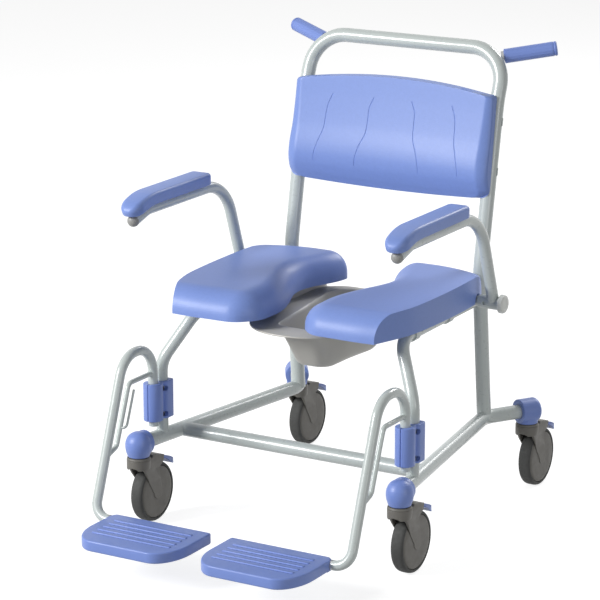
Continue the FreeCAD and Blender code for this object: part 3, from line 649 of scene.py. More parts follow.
# The left half's four edges in plan. Its two inner corners are rounded off where two rolls meet.
SEAT_INNER = plan((52, -168), (50, -140), (48, -105), (48, -60), (55, -25), (69, 15), (84, 50), (95, 82),
                  (98, 115), (93, 145), (80, 178), (68, 210), (62.5, 242), (62, 278))
SEAT_OUTER = plan((229, -173), (234, -157), (240, -140), (249, -112), (259, -69), (264, -5), (266, 68),
                  (265, 148), (260, 213), (254, 236))
SEAT_FRONT = plan((52, -168), (75, -171), (102, -173), (140, -174), (190, -175), (229, -173))
SEAT_REAR = plan((62, 278), (86, 280), (115, 281), (150, 281), (190, 274), (222, 263), (244, 252), (254, 236))
SEAT_UNDER = 0.4545     # height of the underside
SEAT_RISE = 0.0035      # how much higher the rear is than the front
SEAT_SKIRT = 0.0045     # what a roll leaves standing of the edge
INNER_ROLL = ((0, 0.054), (0.3, 0.052), (0.6, 0.046), (0.8, 0.046), (1, 0.046))    # by the share along
REAR_ROLL = 0.046
SEAT_GRID, SEAT_CROWDING = (40, 72), 1.5    # faces across and along, and how they crowd at the inner edge
STUB_ROOM = (0.23, 0.30, 0.0145)    # start, end and radius of the hollow round the armrest's stub


def patch(front, rear, inner, outer, u, v):
    """A point inside four edge curves, across by u and along by v."""
    a, b = smooth_line(inner, v), smooth_line(outer, v)
    c, d = smooth_line(front, u), smooth_line(rear, u)
    corners = (front[0] * (1 - u) + front[-1] * u) * (1 - v) + (rear[0] * (1 - u) + rear[-1] * u) * v
    return a * (1 - u) + b * u + c * (1 - v) + d * v - corners


def roll(distance, radius):
    """How far into a rolled edge a point lies: 1 at the edge, 0 from a radius in."""
    return max(0.0, 1 - distance / radius)


def fall(share, radius):
    """How far a rolled edge has fallen at a share of its way out."""
    return radius * (1 - math.sqrt(max(0.0, 1 - share ** 2)))


def crowded(share):
    """A share of the way from 0 to 1 that crowds at both ends, where the pads' edges are rolled."""
    return (1 - math.cos(math.pi * share)) / 2


def within(value):
    """A share, kept between 0 and 1."""
    return min(1.0, max(0.0, value))


class CHAIR_OT_seat(bpy.types.Operator):
    """Model a seat half with a crisp outer edge and rolled front, inner and rear edges, and its twin"""
    bl_idname = "chair.seat"
    bl_label = "Seat halves"

    def execute(self, context):
        s = context.scene.chair_sizes

        def top(u, v):
            u, v = u ** SEAT_CROWDING, crowded(v)
            p = patch(SEAT_FRONT, SEAT_REAR, SEAT_INNER, SEAT_OUTER, u, v)
            inner_roll = level(INNER_ROLL, v)
            inner = roll((p - smooth_line(SEAT_INNER, v)).length, inner_roll)
            front = roll((p - smooth_line(SEAT_FRONT, u)).length, s.seat_roll)
            rear = roll((p - smooth_line(SEAT_REAR, u)).length, REAR_ROLL)
            end = max(front, rear)
            eased_inner = inner * math.sqrt(1 - end ** 2 / 2)
            eased_end = end * math.sqrt(1 - inner ** 2 / 2)
            share = math.hypot(eased_inner, eased_end)    # two rolls meet in a rounded corner
            across = (smooth_line(SEAT_OUTER, v) - smooth_line(SEAT_INNER, v)).normalized()
            along = (smooth_line(SEAT_REAR, u) - smooth_line(SEAT_FRONT, u)).normalized()
            p += across * (inner - eased_inner) * inner_roll
            p += along * (end - eased_end) * (s.seat_roll if front else -REAR_ROLL)
            weights, radii = (inner ** 2, front ** 2, rear ** 2), (inner_roll, s.seat_roll, REAR_ROLL)
            radius = sum(w * r for w, r in zip(weights, radii)) / max(sum(weights), 1e-9)
            drop = fall(share, min(radius, s.seat_top - SEAT_UNDER - SEAT_SKIRT))
            p.z = s.seat_top + SEAT_RISE * v - drop
            return p

        pad = sheet("seat_half_left", *SEAT_GRID, top)
        pull(pad, (0, 0, -PULL))
        bpy.ops.transform.resize(value=(1, 1, 0), center_override=(0, 0, SEAT_UNDER))
        outward()
        out_of_edit()
        round_edges(pad, s.edge, 3)
        pivot = joint_place("armrest_left_swing")
        start, end, radius = STUB_ROOM
        carve(pad, rod("stub_room", (start, pivot.y, pivot.z), (end, pivot.y, pivot.z), radius))
        for obj in settle_pair(pad, "frame", "pad_blue", FINISHES["pad_blue"], "seat_pad_", PAD_SMOOTH):
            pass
        return {"FINISHED"}


# Backrest

# Heights, and how far back the front face lies there at the pad's ends
BACK_FRONT = ((0.638, 0.3010), (0.648, 0.2948), (0.655, 0.2910), (0.665, 0.2858), (0.675, 0.2818),
              (0.685, 0.2788), (0.697, 0.2774), (0.710, 0.2782), (0.730, 0.2830), (0.760, 0.2935),
              (0.810, 0.3055), (0.857, 0.3145), (0.880, 0.3185))
BACK_GRID = (84, 60)    # faces across and up
BACK_LOW, BACK_HIGH = 0.648, 0.855    # heights of the lower and upper edge at the pad's ends
BACK_HALF_LOW, BACK_HALF_HIGH = 0.236, 0.2300
BACK_BOW = 0.009        # how far the lower edge hangs down in the middle
BACK_EDGE, BACK_FOOT_R, BACK_HEAD_R = 0.003, 0.020, 0.008
BACK_END_R = ((0, 0.020), (0.35, 0.022), (1, 0.013))    # by the share of the pad's height
BACK_END_SLANT, BACK_END_ROUND = 0.4, 0.45    # how far an end slants and rounds back, per its radius
REAR_Y, REAR_Z = 0.3015, 0.650    # a point on the rear face
REAR_LEAN, REAR_RISE = 0.341 - 0.302, 0.855 - 0.650    # how far it leans back over a rise
REAR_HALF, REAR_HOLLOW = 0.203, 0.75    # half width of the rear's hollow, and its depth per the front's
GROOVES = (mm((44, 828), (53, 806), (54, 780), (56, 753), (67, 727), (74, 700), (75, 685)),
           mm((139, 829), (148, 807), (151, 785), (153, 757), (161, 731), (168, 705), (169, 690)))
GROOVE_STEPS = 48
GROOVE_PROUD = 0.35     # how far a groove's axis stands proud of the face, per its half width

UPRIGHT_FOOT = (0.224, 0.319)    # where an upright stands on the base
STRAP_R, STRAP_T, STRAP_W, STRAP_EDGE = 0.0163, 0.0010, 0.016, 0.0004
# The tab's face, outer end and rivet, from the upright's axis
STRAP_TAB, STRAP_END, STRAP_RIVET = 0.0150, 0.0303, 0.0233
STRAP_LEAN = math.atan(66.5 / 350)    # the uprights' lean
STRAP_PLACES = ((0.3269, 0.700), (0.3459, 0.800))
RIVET = [(0, -0.001), (0.0038, -0.001), (0.0038, 0.0004), (0.0032, 0.0012), (0.0018, 0.0018), (0, 0.002)]


def back_rear(z):
    """The backrest's rear face, just clear of the uprights."""
    return ZERO_Y + REAR_Y + (z - REAR_Z) * REAR_LEAN / REAR_RISE


class CHAIR_OT_backrest(bpy.types.Operator):
    """Model the hollow, arched backrest with its wavy grooves, and its straps"""
    bl_idname = "chair.backrest"
    bl_label = "Backrest"

    def execute(self, context):
        s = context.scene.chair_sizes

        def span(across):
            """The pad's lower and upper edge, at a share of its half width."""
            return BACK_LOW - BACK_BOW * (1 - across ** 2), BACK_HIGH + s.back_arch * (1 - across ** 2)

        def face(x, z, low, high):
            """How far back the front face lies, its section stretched to reach from edge to edge."""
            shifted = BACK_LOW + (z - low) * (BACK_HIGH - BACK_LOW) / (high - low)
            return ZERO_Y + level(BACK_FRONT, shifted) + s.back_sag * (1 - (x / BACK_HALF_HIGH) ** 2)

        def place(u, v):
            """The pad's front, rolled back at its ends and rounded at its corners."""
            t = crowded(v)
            across = math.sin(math.pi * (u - 0.5))
            low, high = span(across)
            z = low + (high - low) * t
            half = BACK_HALF_LOW + (BACK_HALF_HIGH - BACK_HALF_LOW) * t
            foot = fall(roll(z - low, BACK_FOOT_R), BACK_FOOT_R)
            half -= foot + fall(roll(high - z, BACK_HEAD_R), BACK_HEAD_R)
            x = across * half
            reach_in = level(BACK_END_R, t)
            share = roll(half - abs(x), reach_in)
            end = BACK_END_SLANT * reach_in * share + fall(share, BACK_END_ROUND * reach_in)
            return Vector((x, face(x, z, low, high) + end, z))

        pad = sheet("backrest", *BACK_GRID, place)
        pull(pad, (0, PULL, 0))
        work = bmesh.from_edit_mesh(pad.data)
        for vertex in work.verts:
            if vertex.select:
                inside = max(0.0, 1 - (vertex.co.x / REAR_HALF) ** 2)
                vertex.co.y = back_rear(vertex.co.z) + s.back_sag * REAR_HOLLOW * inside
        bmesh.update_edit_mesh(pad.data)
        outward()
        out_of_edit()
        round_edges(pad, BACK_EDGE, 4)
        for line in GROOVES:
            for side in (1, -1):
                points = []
                for i in range(GROOVE_STEPS + 1):
                    p = smooth_line(line, i / GROOVE_STEPS)
                    proud = face(p.x, p.y, *span(p.x / BACK_HALF_LOW)) - s.groove * GROOVE_PROUD
                    points.append((side * p.x, proud, p.y))
                carve(pad, wire("groove", points, s.groove))
        settle(pad, "frame", "pad_blue", FINISHES["pad_blue"], ["back_pad"], PAD_SMOOTH)
        self.straps()
        return {"FINISHED"}

    def straps(self):
        """A thin band round the rear of an upright, its tab riveted behind the pad, copied to four places."""
        tab = STRAP_T - STRAP_TAB
        section = arc(ORIGIN, STRAP_R, 0, 180, 30)
        section += [(-STRAP_R, tab), (-STRAP_END, tab), (-STRAP_END, -STRAP_TAB),
                    (STRAP_T - STRAP_R, -STRAP_TAB)]
        section += arc(ORIGIN, STRAP_R - STRAP_T, 180, 0, 30)
        band = slab("back_straps", at_height(section, -STRAP_W / 2), (0, 0, STRAP_W))
        round_edges(band, STRAP_EDGE, 2)
        join(band, aim(lathe("rivet", RIVET, 24), (0, 1, 0), (-STRAP_RIVET, tab, 0)))
        lean = Matrix.Rotation(-STRAP_LEAN, 4, "X")
        bands = [moved_copy(band, "back_strap", ORIGIN) for place in STRAP_PLACES]
        for copy, (y, z) in zip(bands, STRAP_PLACES):
            copy.data.transform(Matrix.Translation((UPRIGHT_FOOT[0], y + ZERO_Y, z)) @ lean)
        bands += [twin(copy, "back_strap") for copy in bands]
        bpy.data.objects.remove(band)
        straps = join(*bands)
        straps.name = straps.data.name = "back_straps"
        settle(straps, "frame", "steel", FINISHES["tube_white"], ["back_clips"])


# Armrests

# The line that the pad's underside follows, from its rear to its nose
ARM_SPINE = mm((0, 58.5, 669.6), (0, 0, 669.6), (0, -80, 669.6), (0, -130, 669.6), (0, -152, 669.5),
               (0, -170, 668.0), (0, -186, 664.6), (0, -200, 660.4), (0, -213, 655.2), (0, -224, 649.8))
ARM_HALF, ARM_HEIGHT = 0.0245, 0.0238
ARM_NOSE_R, ARM_REAR_R, ARM_UNDER_R = 0.027, 0.020, 0.003
ARM_RINGS, ARM_STEPS = 72, 6    # sections along the pad, and steps round each of a section's corners
ARM_STOP = 0.985        # where the last section stands, just short of the nose's tip
ARM_LOOK = 0.01         # how far before and behind a section its direction is taken
ARM_NOSE_LIFT = 0.28    # how far the underside rises at the nose, per the height
ARM_REAR_EASE = 0.4     # how far the top and the underside close in at the rear, per what the sides do
ARM_BEND, ARM_BEND_RUN = 0.205, 0.070    # where the droop starts, and over what length
ARM_BEND_CREASE = 0.006    # how much rounder the top edges grow there
MOST_CREASE, MOST_UNDER, MOST_SIDE = 0.46, 0.4, 0.9    # most of the height and half width that an edge takes
ARM_TIP_COLLAR = [(0, -0.002), (0.0112, -0.002), (0.0122, -0.001), (0.0122, 0.0012), (0.0117, 0.0018)]
ARM_TIP_BALL = (0.0119, 0.0100, 0.0022)    # radius, height and start of the end cap's dome
ARM_TIP_WAY, ARM_TIP_Y, ARM_TIP_Z = (0, -48, -14), -0.206, 0.643
STUB_CAP_T = 0.011


class CHAIR_OT_armrests(bpy.types.Operator):
    """Model an armrest pad, drooping at its nose, with the end caps of its tube and stub, and their twins"""
    bl_idname = "chair.armrests"
    bl_label = "Armrests"

    def execute(self, context):
        s = context.scene.chair_sizes
        low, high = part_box("armrest_pad_left")
        middle_x = (low.x + high.x) / 2
        span = sum((b - a).length for a, b in zip(ARM_SPINE, ARM_SPINE[1:]))
        around = 4 * (ARM_STEPS + 1)

        def skin(u, v):
            v = crowded(min(v, ARM_STOP))
            foot = smooth_line(ARM_SPINE, v)
            behind = smooth_line(ARM_SPINE, max(0, v - ARM_LOOK))
            ahead = (smooth_line(ARM_SPINE, min(1, v + ARM_LOOK)) - behind).normalized()
            rise = Vector((1, 0, 0)).cross(ahead)
            rise *= math.copysign(1, rise.z)
            nose = math.sqrt(max(0.0, 1 - roll((1 - v) * span, ARM_NOSE_R) ** 2))
            rear = fall(roll(v * span, ARM_REAR_R), ARM_REAR_R)
            half = ARM_HALF * nose - rear
            base = ARM_HEIGHT * ARM_NOSE_LIFT * (1 - nose) + rear * ARM_REAR_EASE
            crest = ARM_HEIGHT * (0.5 + 0.5 * nose) - rear * ARM_REAR_EASE
            bend = within((v * span - ARM_BEND) / ARM_BEND_RUN)
            crease = s.arm_crease + ARM_BEND_CREASE * bend ** 2
            crease = min(crease, MOST_CREASE * (crest - base), MOST_SIDE * half)
            under = min(ARM_UNDER_R, MOST_UNDER * (crest - base), MOST_SIDE * half)
            ring = oblong((-half, base), (half, crest), [under, under, crease, crease], ARM_STEPS)
            across, up = ring[round(u * around) % around]
            if up > (base + crest) / 2:
                up += s.arm_crown * nose * (1 - (across / half) ** 2)
            return foot + rise * up + Vector((middle_x + across, ZERO_Y, 0))

        pad = loft("armrest_skin_left", around, ARM_RINGS, skin)
        for obj in settle_pair(pad, "armrest_", "pad_blue", FINISHES["pad_blue"], "armrest_pad_", PAD_SMOOTH):
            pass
        wide, deep, start = ARM_TIP_BALL
        dome = ARM_TIP_COLLAR + [(wide * x, start + deep * y) for x, y in arc(ORIGIN, 1, 0, 82.5, 11)]
        tip = lathe("arm_tip_left", dome + [(0, start + deep)], 40)
        aim(tip, ARM_TIP_WAY, (middle_x, ZERO_Y + ARM_TIP_Y, ARM_TIP_Z))
        settle_pair(tip, "armrest_", "cap_grey", FINISHES["cap_grey"], "armrest_tip_")
        pivot = joint_place("armrest_left_swing")
        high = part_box("armrest_stub_caps")[1]
        radius, thick = high.z - pivot.z, STUB_CAP_T
        lid = [(0, 0), (radius - 0.001, 0), (radius, 0.001), (radius, thick - 0.004),
               (radius - 0.001, thick - 0.0015), (radius - 0.0035, thick), (radius * 0.55, thick),
               (radius * 0.5, thick - 0.0008), (0, thick - 0.0008)]
        cap = lathe("stub_caps", lid, 56)
        cap.data.transform(Matrix.Translation((high.x - thick, pivot.y, pivot.z)))
        join(cap, twin(cap, "stub_cap_right"))
        settle(cap, "frame", "cap_grey", FINISHES["stub_cap"], ["armrest_stub_caps"])
        return {"FINISHED"}


# Push grips

GRIP_START = Vector((0.211, 0.4095 + ZERO_Y, 0.9235))
GRIP_WAY = Vector((0.90, 0.41, 0.17)).normalized()
GRIP_SIDE = lathe_points((0, 0), (13.2, 0), (14.4, 0.5), (15, 1.8), (15, 5), (15, 98), (15, 101), (14.5, 102),
                         (13.9, 102.3), (13.9, 103.2), (14.4, 103.6), (14.8, 104.6), (14.8, 106.8),
                         (14.0, 108.4), (12.6, 109), (8.4, 109), (7.6, 108.2), (0, 108.2))
FLUTES, FLUTE_START, FLUTE_END = 16, 0.004, 0.099
FLUTE_OUT = 0.0149      # only what lies further out than this is fluted
HOOP_CORNER = plan((224, 358, 850), (224, 368, 876), (217.5, 377.8, 903.3), (202, 384, 919.5),
                   (178, 390, 934.5), (149, 392, 940))
HOOP_R, HOOP_ROOM, HOOP_STEPS = 0.0150, 0.0190, 40    # the hoop's tube, and the grip's hollow round its weld
GRIP_STUB, STUB_LENGTH, STUB_CHAMFER, STUB_SINK = 0.0110, 0.0972, 0.0012, 0.006


class CHAIR_OT_grips(bpy.types.Operator):
    """Model a fluted push grip with its end plug and steel stub, and their twins"""
    bl_idname = "chair.grips"
    bl_label = "Push grips"

    def execute(self, context):
        s = context.scene.chair_sizes
        grip = lathe("grip_left", GRIP_SIDE, FLUTES * 6)
        for vertex in grip.data.vertices:
            out, along = math.hypot(vertex.co.y, vertex.co.z), vertex.co.x
            if out > FLUTE_OUT and FLUTE_START < along < FLUTE_END:
                wave = 0.5 - 0.5 * math.cos(FLUTES * math.atan2(vertex.co.z, vertex.co.y))
                vertex.co.yz *= 1 - s.flute * wave / out
        aim(grip, GRIP_WAY, GRIP_START)
        line = [smooth_line(HOOP_CORNER, i / HOOP_STEPS) for i in range(HOOP_STEPS + 1)]
        carve(grip, wire("hoop_room", line, HOOP_ROOM))
        settle_pair(grip, "frame", "pad_blue", FINISHES["grip_blue"], "push_grip_")
        side = [(0, 0), (GRIP_STUB, 0), (GRIP_STUB, STUB_LENGTH - STUB_CHAMFER),
                (GRIP_STUB - STUB_CHAMFER, STUB_LENGTH), (0, STUB_LENGTH)]
        stub = lathe("grip_stubs", side, 40)
        aim(stub, GRIP_WAY, GRIP_START - GRIP_WAY * STUB_SINK)
        carve(stub, wire("hoop_room", line, HOOP_R))
        join(stub, twin(stub, "grip_stub_right"))
        settle(stub, "frame", "steel", FINISHES["steel"], ["push_grip_stubs"])
        return {"FINISHED"}


# Commode pan

RAIL_SET_BACK = 0.030    # how far the pan rails' front ends lie back under the seat, from their full length
RAIL_EDGE = 0.0004
PAN_MIDDLE = (0, 75)
PAN_OUTLINES = {"rim": oblong((-118, -141), (118, 262), [112, 112, 62, 62], 14),
                "mouth": rounded([(-47, -78), (47, -78), (88, 242), (-88, 242)], [24, 24, 45, 45], 14),
                "floor": rounded([(-38, -24), (38, -24), (54, 195), (-54, 195)], [30, 30, 45, 45], 14)}
PAN_AROUND, PAN_TURN = 144, 0.37    # points round the pan, and how far the first is turned, in steps
PAN_SECTION = (    # outline, outline that it is on its way to, how far, moved out, height
    ("floor", "floor", 0, -36, 339), ("floor", "floor", 0, -13, 339), ("floor", "floor", 0, -5, 340),
    ("floor", "mouth", 0.03, -1, 343.5), ("floor", "mouth", 0.12, 0, 351), ("floor", "mouth", 0.5, 0, 385),
    ("floor", "mouth", 0.92, 0, 423), ("mouth", "mouth", 0, 0.6, 427.5), ("mouth", "mouth", 0, 2.4, 429.5),
    ("mouth", "mouth", 0, 6, 430), ("rim", "rim", 0, -3, 430), ("rim", "rim", 0, -0.6, 430.5),
    ("rim", "rim", 0, 0, 432), ("rim", "rim", 0, -0.6, 433.5), ("rim", "rim", 0, -3, 434),
    ("mouth", "mouth", 0, 5, 434), ("mouth", "mouth", 0, 0, 433.5), ("mouth", "mouth", 0, -2.4, 431.5),
    ("floor", "mouth", 0.95, -3, 427), ("floor", "mouth", 0.5, -3, 386), ("floor", "mouth", 0.15, -3, 356),
    ("floor", "mouth", 0.05, -4.2, 347.5), ("floor", "floor", 0, -8, 343.5), ("floor", "floor", 0, -16, 342),
    ("floor", "floor", 0, -36, 342))


def reach(outline, angle):
    """How far a plan outline lies from the pan's middle in a direction."""
    way = Vector((math.cos(angle), math.sin(angle)))
    found = 0.0
    for a, b in zip(outline, outline[1:] + outline[:1]):
        a, b = Vector(a) - Vector(PAN_MIDDLE), Vector(b) - Vector(PAN_MIDDLE)
        p, q = way.cross(a), way.cross(b)
        if p * q <= 0 and p != q:
            found = max(found, a.lerp(b, p / (p - q)).dot(way))
    return found


class CHAIR_OT_pan(bpy.types.Operator):
    """Model the commode pan with its broad flat rim and tapered bowl, and shorten its rails"""
    bl_idname = "chair.pan"
    bl_label = "Commode pan"

    def execute(self, context):
        angles = [2 * math.pi * (i + PAN_TURN) / PAN_AROUND for i in range(PAN_AROUND)]
        reaches = {name: [reach(line, angle) for angle in angles] for name, line in PAN_OUTLINES.items()}

        def skin(u, v):
            i = round(u * PAN_AROUND) % PAN_AROUND
            first, last, share, out, height = PAN_SECTION[round(v * (len(PAN_SECTION) - 1))]
            far = reaches[first][i] * (1 - share) + reaches[last][i] * share + out
            x, y = PAN_MIDDLE[0] + far * math.cos(angles[i]), PAN_MIDDLE[1] + far * math.sin(angles[i])
            return Vector((x / 1000, y / 1000 + ZERO_Y, height / 1000))

        pan = loft("pan", PAN_AROUND, len(PAN_SECTION) - 1, skin)
        settle(pan, "pan", "pan_grey", FINISHES["pan_grey"], ["commode_pan"])
        low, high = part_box("pan_rail_left")
        slack = Vector((0.01, 0.01, 0.01))
        rail = copy_of("pan_rail_left", "rail_left")
        end = (high.x + slack.x, low.y + RAIL_SET_BACK, high.z + slack.z)
        carve(rail, block("front_end", low - slack, end))
        round_edges(rail, RAIL_EDGE, 2)
        settle_pair(rail, "frame", "steel", FINISHES["pan_grey"], "pan_rail_")
        return {"FINISHED"}


# Footrests

PLATE_TOP, PLATE_UNDER = 0.023, 0.001    # above the foot of the plate's boss
# Half widths of the plate's oval corners: two in front, outer and inner behind
PLATE_CORNERS = (0.050, 0.050, 0.013, 0.005)
CORNER_STRETCH = 1.6    # an oval corner's length along the chair, per its width
HOLLOW_CORNERS = (0.041, 0.041, 0.005, 0.005)
HOLLOW_EDGE, HOLLOW_OUTER, HOLLOW_REAR, HOLLOW_DEPTH = 0.01, 0.014, 0.028, 0.004    # in from the plate's rim
RIBS, RIB_PITCH, RIB_FIRST = 5, 0.0193, 0.033
RIB_REACH, RIB_HALF, RIB_CORNER, RIB_EDGE, RIB_ROOT = 0.089, 0.0042, 0.002, 0.0011, 0.002
# The hinge boss, from the plate's outer rear corner
BOSS_LOW, BOSS_HIGH = Vector((-0.013, -0.026)), Vector((-0.0005, -0.0015))
BOSS_CORNERS, BOSS_HEIGHT, BOSS_EDGE = (0.003, 0.003, 0.0092, 0.003), 0.0205, 0.002
CLAMP_BORE, HANGER_BORE, CLAMP_LOBE = 12.6, 10.1, 20.0    # radii, in millimetres
CLAMP_LEG = 33.0        # from the hanger's axis to the leg's, in millimetres
CLAMP_FOOT, CLAMP_SHARP = 0.004, 40
BOLT_Y, BOLT_IN, BOLT_STEP = 0.0205, 0.014, 0.004    # from the hanger's axis, the clamp's ends and its seam
BOLT_R, BOLT_REACH = 0.0056, 0.03    # a bolt hole's radius and length


def oval_corners(low, high, widths):
    """The outline of a plate whose corners are longer along the chair than across it."""
    line = oblong((low[0], low[1] / CORNER_STRETCH), (high[0], high[1] / CORNER_STRETCH), widths, 12)
    return [(x, y * CORNER_STRETCH) for x, y in line]


class CHAIR_OT_footrests(bpy.types.Operator):
    """Model a ribbed footplate and the two halves of a footrest clamp, and their twins"""
    bl_idname = "chair.footrests"
    bl_label = "Footrests"

    def execute(self, context):
        s = context.scene.chair_sizes
        self.plate(s)
        self.clamp(s)
        return {"FINISHED"}

    def plate(self, s):
        """A plate with oval front corners, a hollow underside, ribs on top and a hinge boss."""
        low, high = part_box("footplate_left")
        top, under, out = low.z + PLATE_TOP, low.z + PLATE_UNDER, high.x
        outline = oval_corners((low.x, low.y), (out, high.y), PLATE_CORNERS)
        plate = slab("footplate_skin_left", at_height(outline, under), (0, 0, top - under))
        round_edges(plate, s.plate_edge, 5)
        hollow = oval_corners((low.x + HOLLOW_EDGE, low.y + HOLLOW_EDGE),
                              (out - HOLLOW_OUTER, high.y - HOLLOW_REAR), HOLLOW_CORNERS)
        carve(plate, slab("hollow", at_height(hollow, under - HOLLOW_DEPTH), (0, 0, 2 * HOLLOW_DEPTH)))
        centre = (low.x + out) / 2
        ribs = []
        for k in range(RIBS):
            y = high.y - RIB_FIRST - RIB_PITCH * k
            line = oblong((centre - RIB_REACH, y - RIB_HALF), (centre + RIB_REACH, y + RIB_HALF),
                          [RIB_CORNER] * 4, 4)
            rib = slab("rib", at_height(line, top - RIB_ROOT), (0, 0, RIB_ROOT + s.rib))
            round_edges(rib, RIB_EDGE, 3, lambda e: steep(e) and middle(e).z > top)
            ribs.append(rib)
        corner = Vector((out, high.y))
        line = oblong(corner + BOSS_LOW, corner + BOSS_HIGH, BOSS_CORNERS, 6)
        boss = slab("boss", at_height(line, low.z), (0, 0, BOSS_HEIGHT))
        round_edges(boss, BOSS_EDGE, 3)
        join(plate, boss, *ribs)
        settle_pair(plate, "footrest_", "mould_blue", FINISHES["mould_blue"], "footplate_")

    def clamp(self, s):
        """Two halves that meet round the leg and the hanger, with sunk bolt holes."""
        low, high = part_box("clamp_outer_left")
        axis = joint_place("hanger_left_swing")
        # The outer half in plan, in millimetres from the hanger's axis
        line = arc(ORIGIN, CLAMP_LOBE, -88.6, 47.5, 22)
        line += arc((12.5, 26.3), 7, -82, 0, 7) + arc((12.5, 43.5), 7, 0, 90, 7) + [(0.5, 50.5)]
        line += arc((0, CLAMP_LEG), CLAMP_BORE, 87.7, -87.7, 22) + arc(ORIGIN, HANGER_BORE, 87.2, -87.2, 20)
        foot = low.z + CLAMP_FOOT
        outline = [(axis.x + x / 1000, axis.y + y / 1000, foot) for x, y in line]
        half = slab("clamp_half_outer_left", outline, (0, 0, high.z - foot))
        round_edges(half, s.clamp_edge, 3, lambda e: steep(e, CLAMP_SHARP))
        for z in (low.z + BOLT_IN, high.z - BOLT_IN):
            start = Vector((axis.x + BOLT_STEP, axis.y + BOLT_Y, z))
            carve(half, rod("bolt_room", start, start + Vector((BOLT_REACH, 0, 0)), BOLT_R, 32))
        other = moved_copy(half, "clamp_half_inner_left", (-2 * axis.x, 0, 0))
        other.data.transform(Matrix.Diagonal((-1, 1, 1, 1)))
        clean(other)
        for obj, node in ((half, "clamp_outer_"), (other, "clamp_inner_")):
            settle_pair(obj, "frame", "mould_blue", FINISHES["mould_blue"], node)


# Castors, modelled once with the stem on the Z axis and the wheel trailing towards +Y, and copied

AXLE = Vector((0, 0.048, 0.0625))
# Outlines from the side, and of the arch over the wheel from the front, in millimetres
FORK_SIDE = [(63, 62.5), (52, 112.7), (65, 124), (65, 139.2), (36, 147.4), (24, 148.4), (21, 144.2),
             (-14, 144.2), (-14, 131), (-7, 122), (10, 97)] + arc((48, 62.5), 15, 180, 360, 16)[:-1]
FORK_ARCH = [(-14.7, 40), (14.7, 40), (14.7, 117), (13.3, 123), (9.3, 127.4), (0, 129.4), (-9.3, 127.4),
             (-13.3, 123), (-14.7, 117)]
PEDAL_ROOM = [(33, 62.5), (33, 145.2), (34, 145.2), (72, 133.8), (140, 62.5)]
PEDAL_SIDE = [(36.6, 135.5), (38.4, 139.4), (42, 141), (46, 139.8), (60, 136.8), (68, 135), (72, 134),
              (76, 132.9), (80, 131.7), (84, 130.4), (90, 128.2), (96, 125.6), (103, 122), (110, 117.6),
              (116, 113.4), (117.5, 111.2), (116, 109), (111, 107), (106, 107.6), (100, 110), (95, 113.8),
              (90, 117.7), (84, 121.7), (78, 125), (72, 127.5), (66, 129.4), (58, 131), (50, 131.8),
              (44, 131.6), (39.4, 131)]
PEDAL_WIDTH = ((69, 1), (77, 1.4), (84, 1.52), (98, 1.5), (107, 1.34), (113, 1.0), (117.5, 0.6))
PEDAL_HALF, PEDAL_ROOM_HALF, PEDAL_EDGE = 0.011, 0.012, 0.0014
FORK_HALF, FORK_WELL, WHEEL_ROOM = 0.0197, 0.0147, 0.0655
FORK_ARCH_START, FORK_ARCH_RUN = -0.03, 0.078
FORK_HEAD_FOOT, FORK_HEAD_TOP, FORK_HEAD_R = 0.1245, 0.1442, 0.0245
FORK_FLARE = (0.108, 0.130)    # heights between which the cheeks widen into the head
CHEEK_FRONT = (Vector((-10, 126)), Vector((33, 62.5)))    # the cheeks' front edge, in millimetres
CHEEK_SKIN = 0.0006     # what lies further out than this from the wheel's well is thinned
THIN_MOST, THIN_TOP, THIN_FADE = 0.86, 0.135, 0.02    # how much, up to what height, and how it fades in below
THIN_START, THIN_RUN = 4, 30    # behind the front edge, in millimetres
THIN_FOOT, THIN_FOOT_RUN = 0.112, 0.024    # below this height the whole cheek is thinned
FORK_RING = [(0.012, 0), (0.0240, 0), (0.0244, 0.0006), (0.0244, 0.0016), (0.0238, 0.0026), (0.0230, 0.0048),
             (0.012, 0.0052)]
RING_GAP = 0.0002
TYRE_HALF = [(55, 12.2), (56.2, 13), (57.6, 13.3), (59.4, 12.7), (61.1, 10.9), (62.1, 8.2), (62.5, 4.8)]
DISC_HALF = [(0, 14.3), (30, 14.3), (47, 14.1), (51.6, 13.5), (53.6, 12.4), (54.4, 10.8)]
WHEEL_STEPS = 96
SOCKET_HEIGHT, SOCKET_R, SOCKET_SLEEVE = 0.176, 0.0246, 0.0224
SOCKET_SIDE = lathe_points((0, -25.6), (21.6, -25.6), (22.4, -24.8), (24.2, -19.5), (26.2, -13), (27.2, -6),
                           (27.1, 1), (25.9, 7.5), (23.4, 13.4), (19.8, 18.2), (15.2, 21.8), (10.2, 24.2),
                           (5, 25.5), (0, 25.8))
TUBE_ROOM = (0.012, 0.06, 0.0151)    # start, end and radius of the hollow round the base tube's end
SOCKET_SMOOTH = 60      # degrees between two faces, up to which a socket is shaded smooth
# Voxel, passes and share of faces kept, where the fork and the sockets are softened
FORK_SOFT, FRONT_SOFT, REAR_SOFT = (0.0008, 6, 0.4), (0.0008, 8, 0.45), (0.0009, 8, 0.35)


def spun_half(points):
    """A lathe's points from half of them, mirrored along its axis."""
    half = lathe_points(*points)
    return half + [(out, -along) for out, along in reversed(half)]


def side_slab(name, outline, half):
    """A slab of an outline from the side in millimetres, half its width on each side of the middle."""
    return slab(name, [(-half, y / 1000, z / 1000) for y, z in outline], (2 * half, 0, 0))


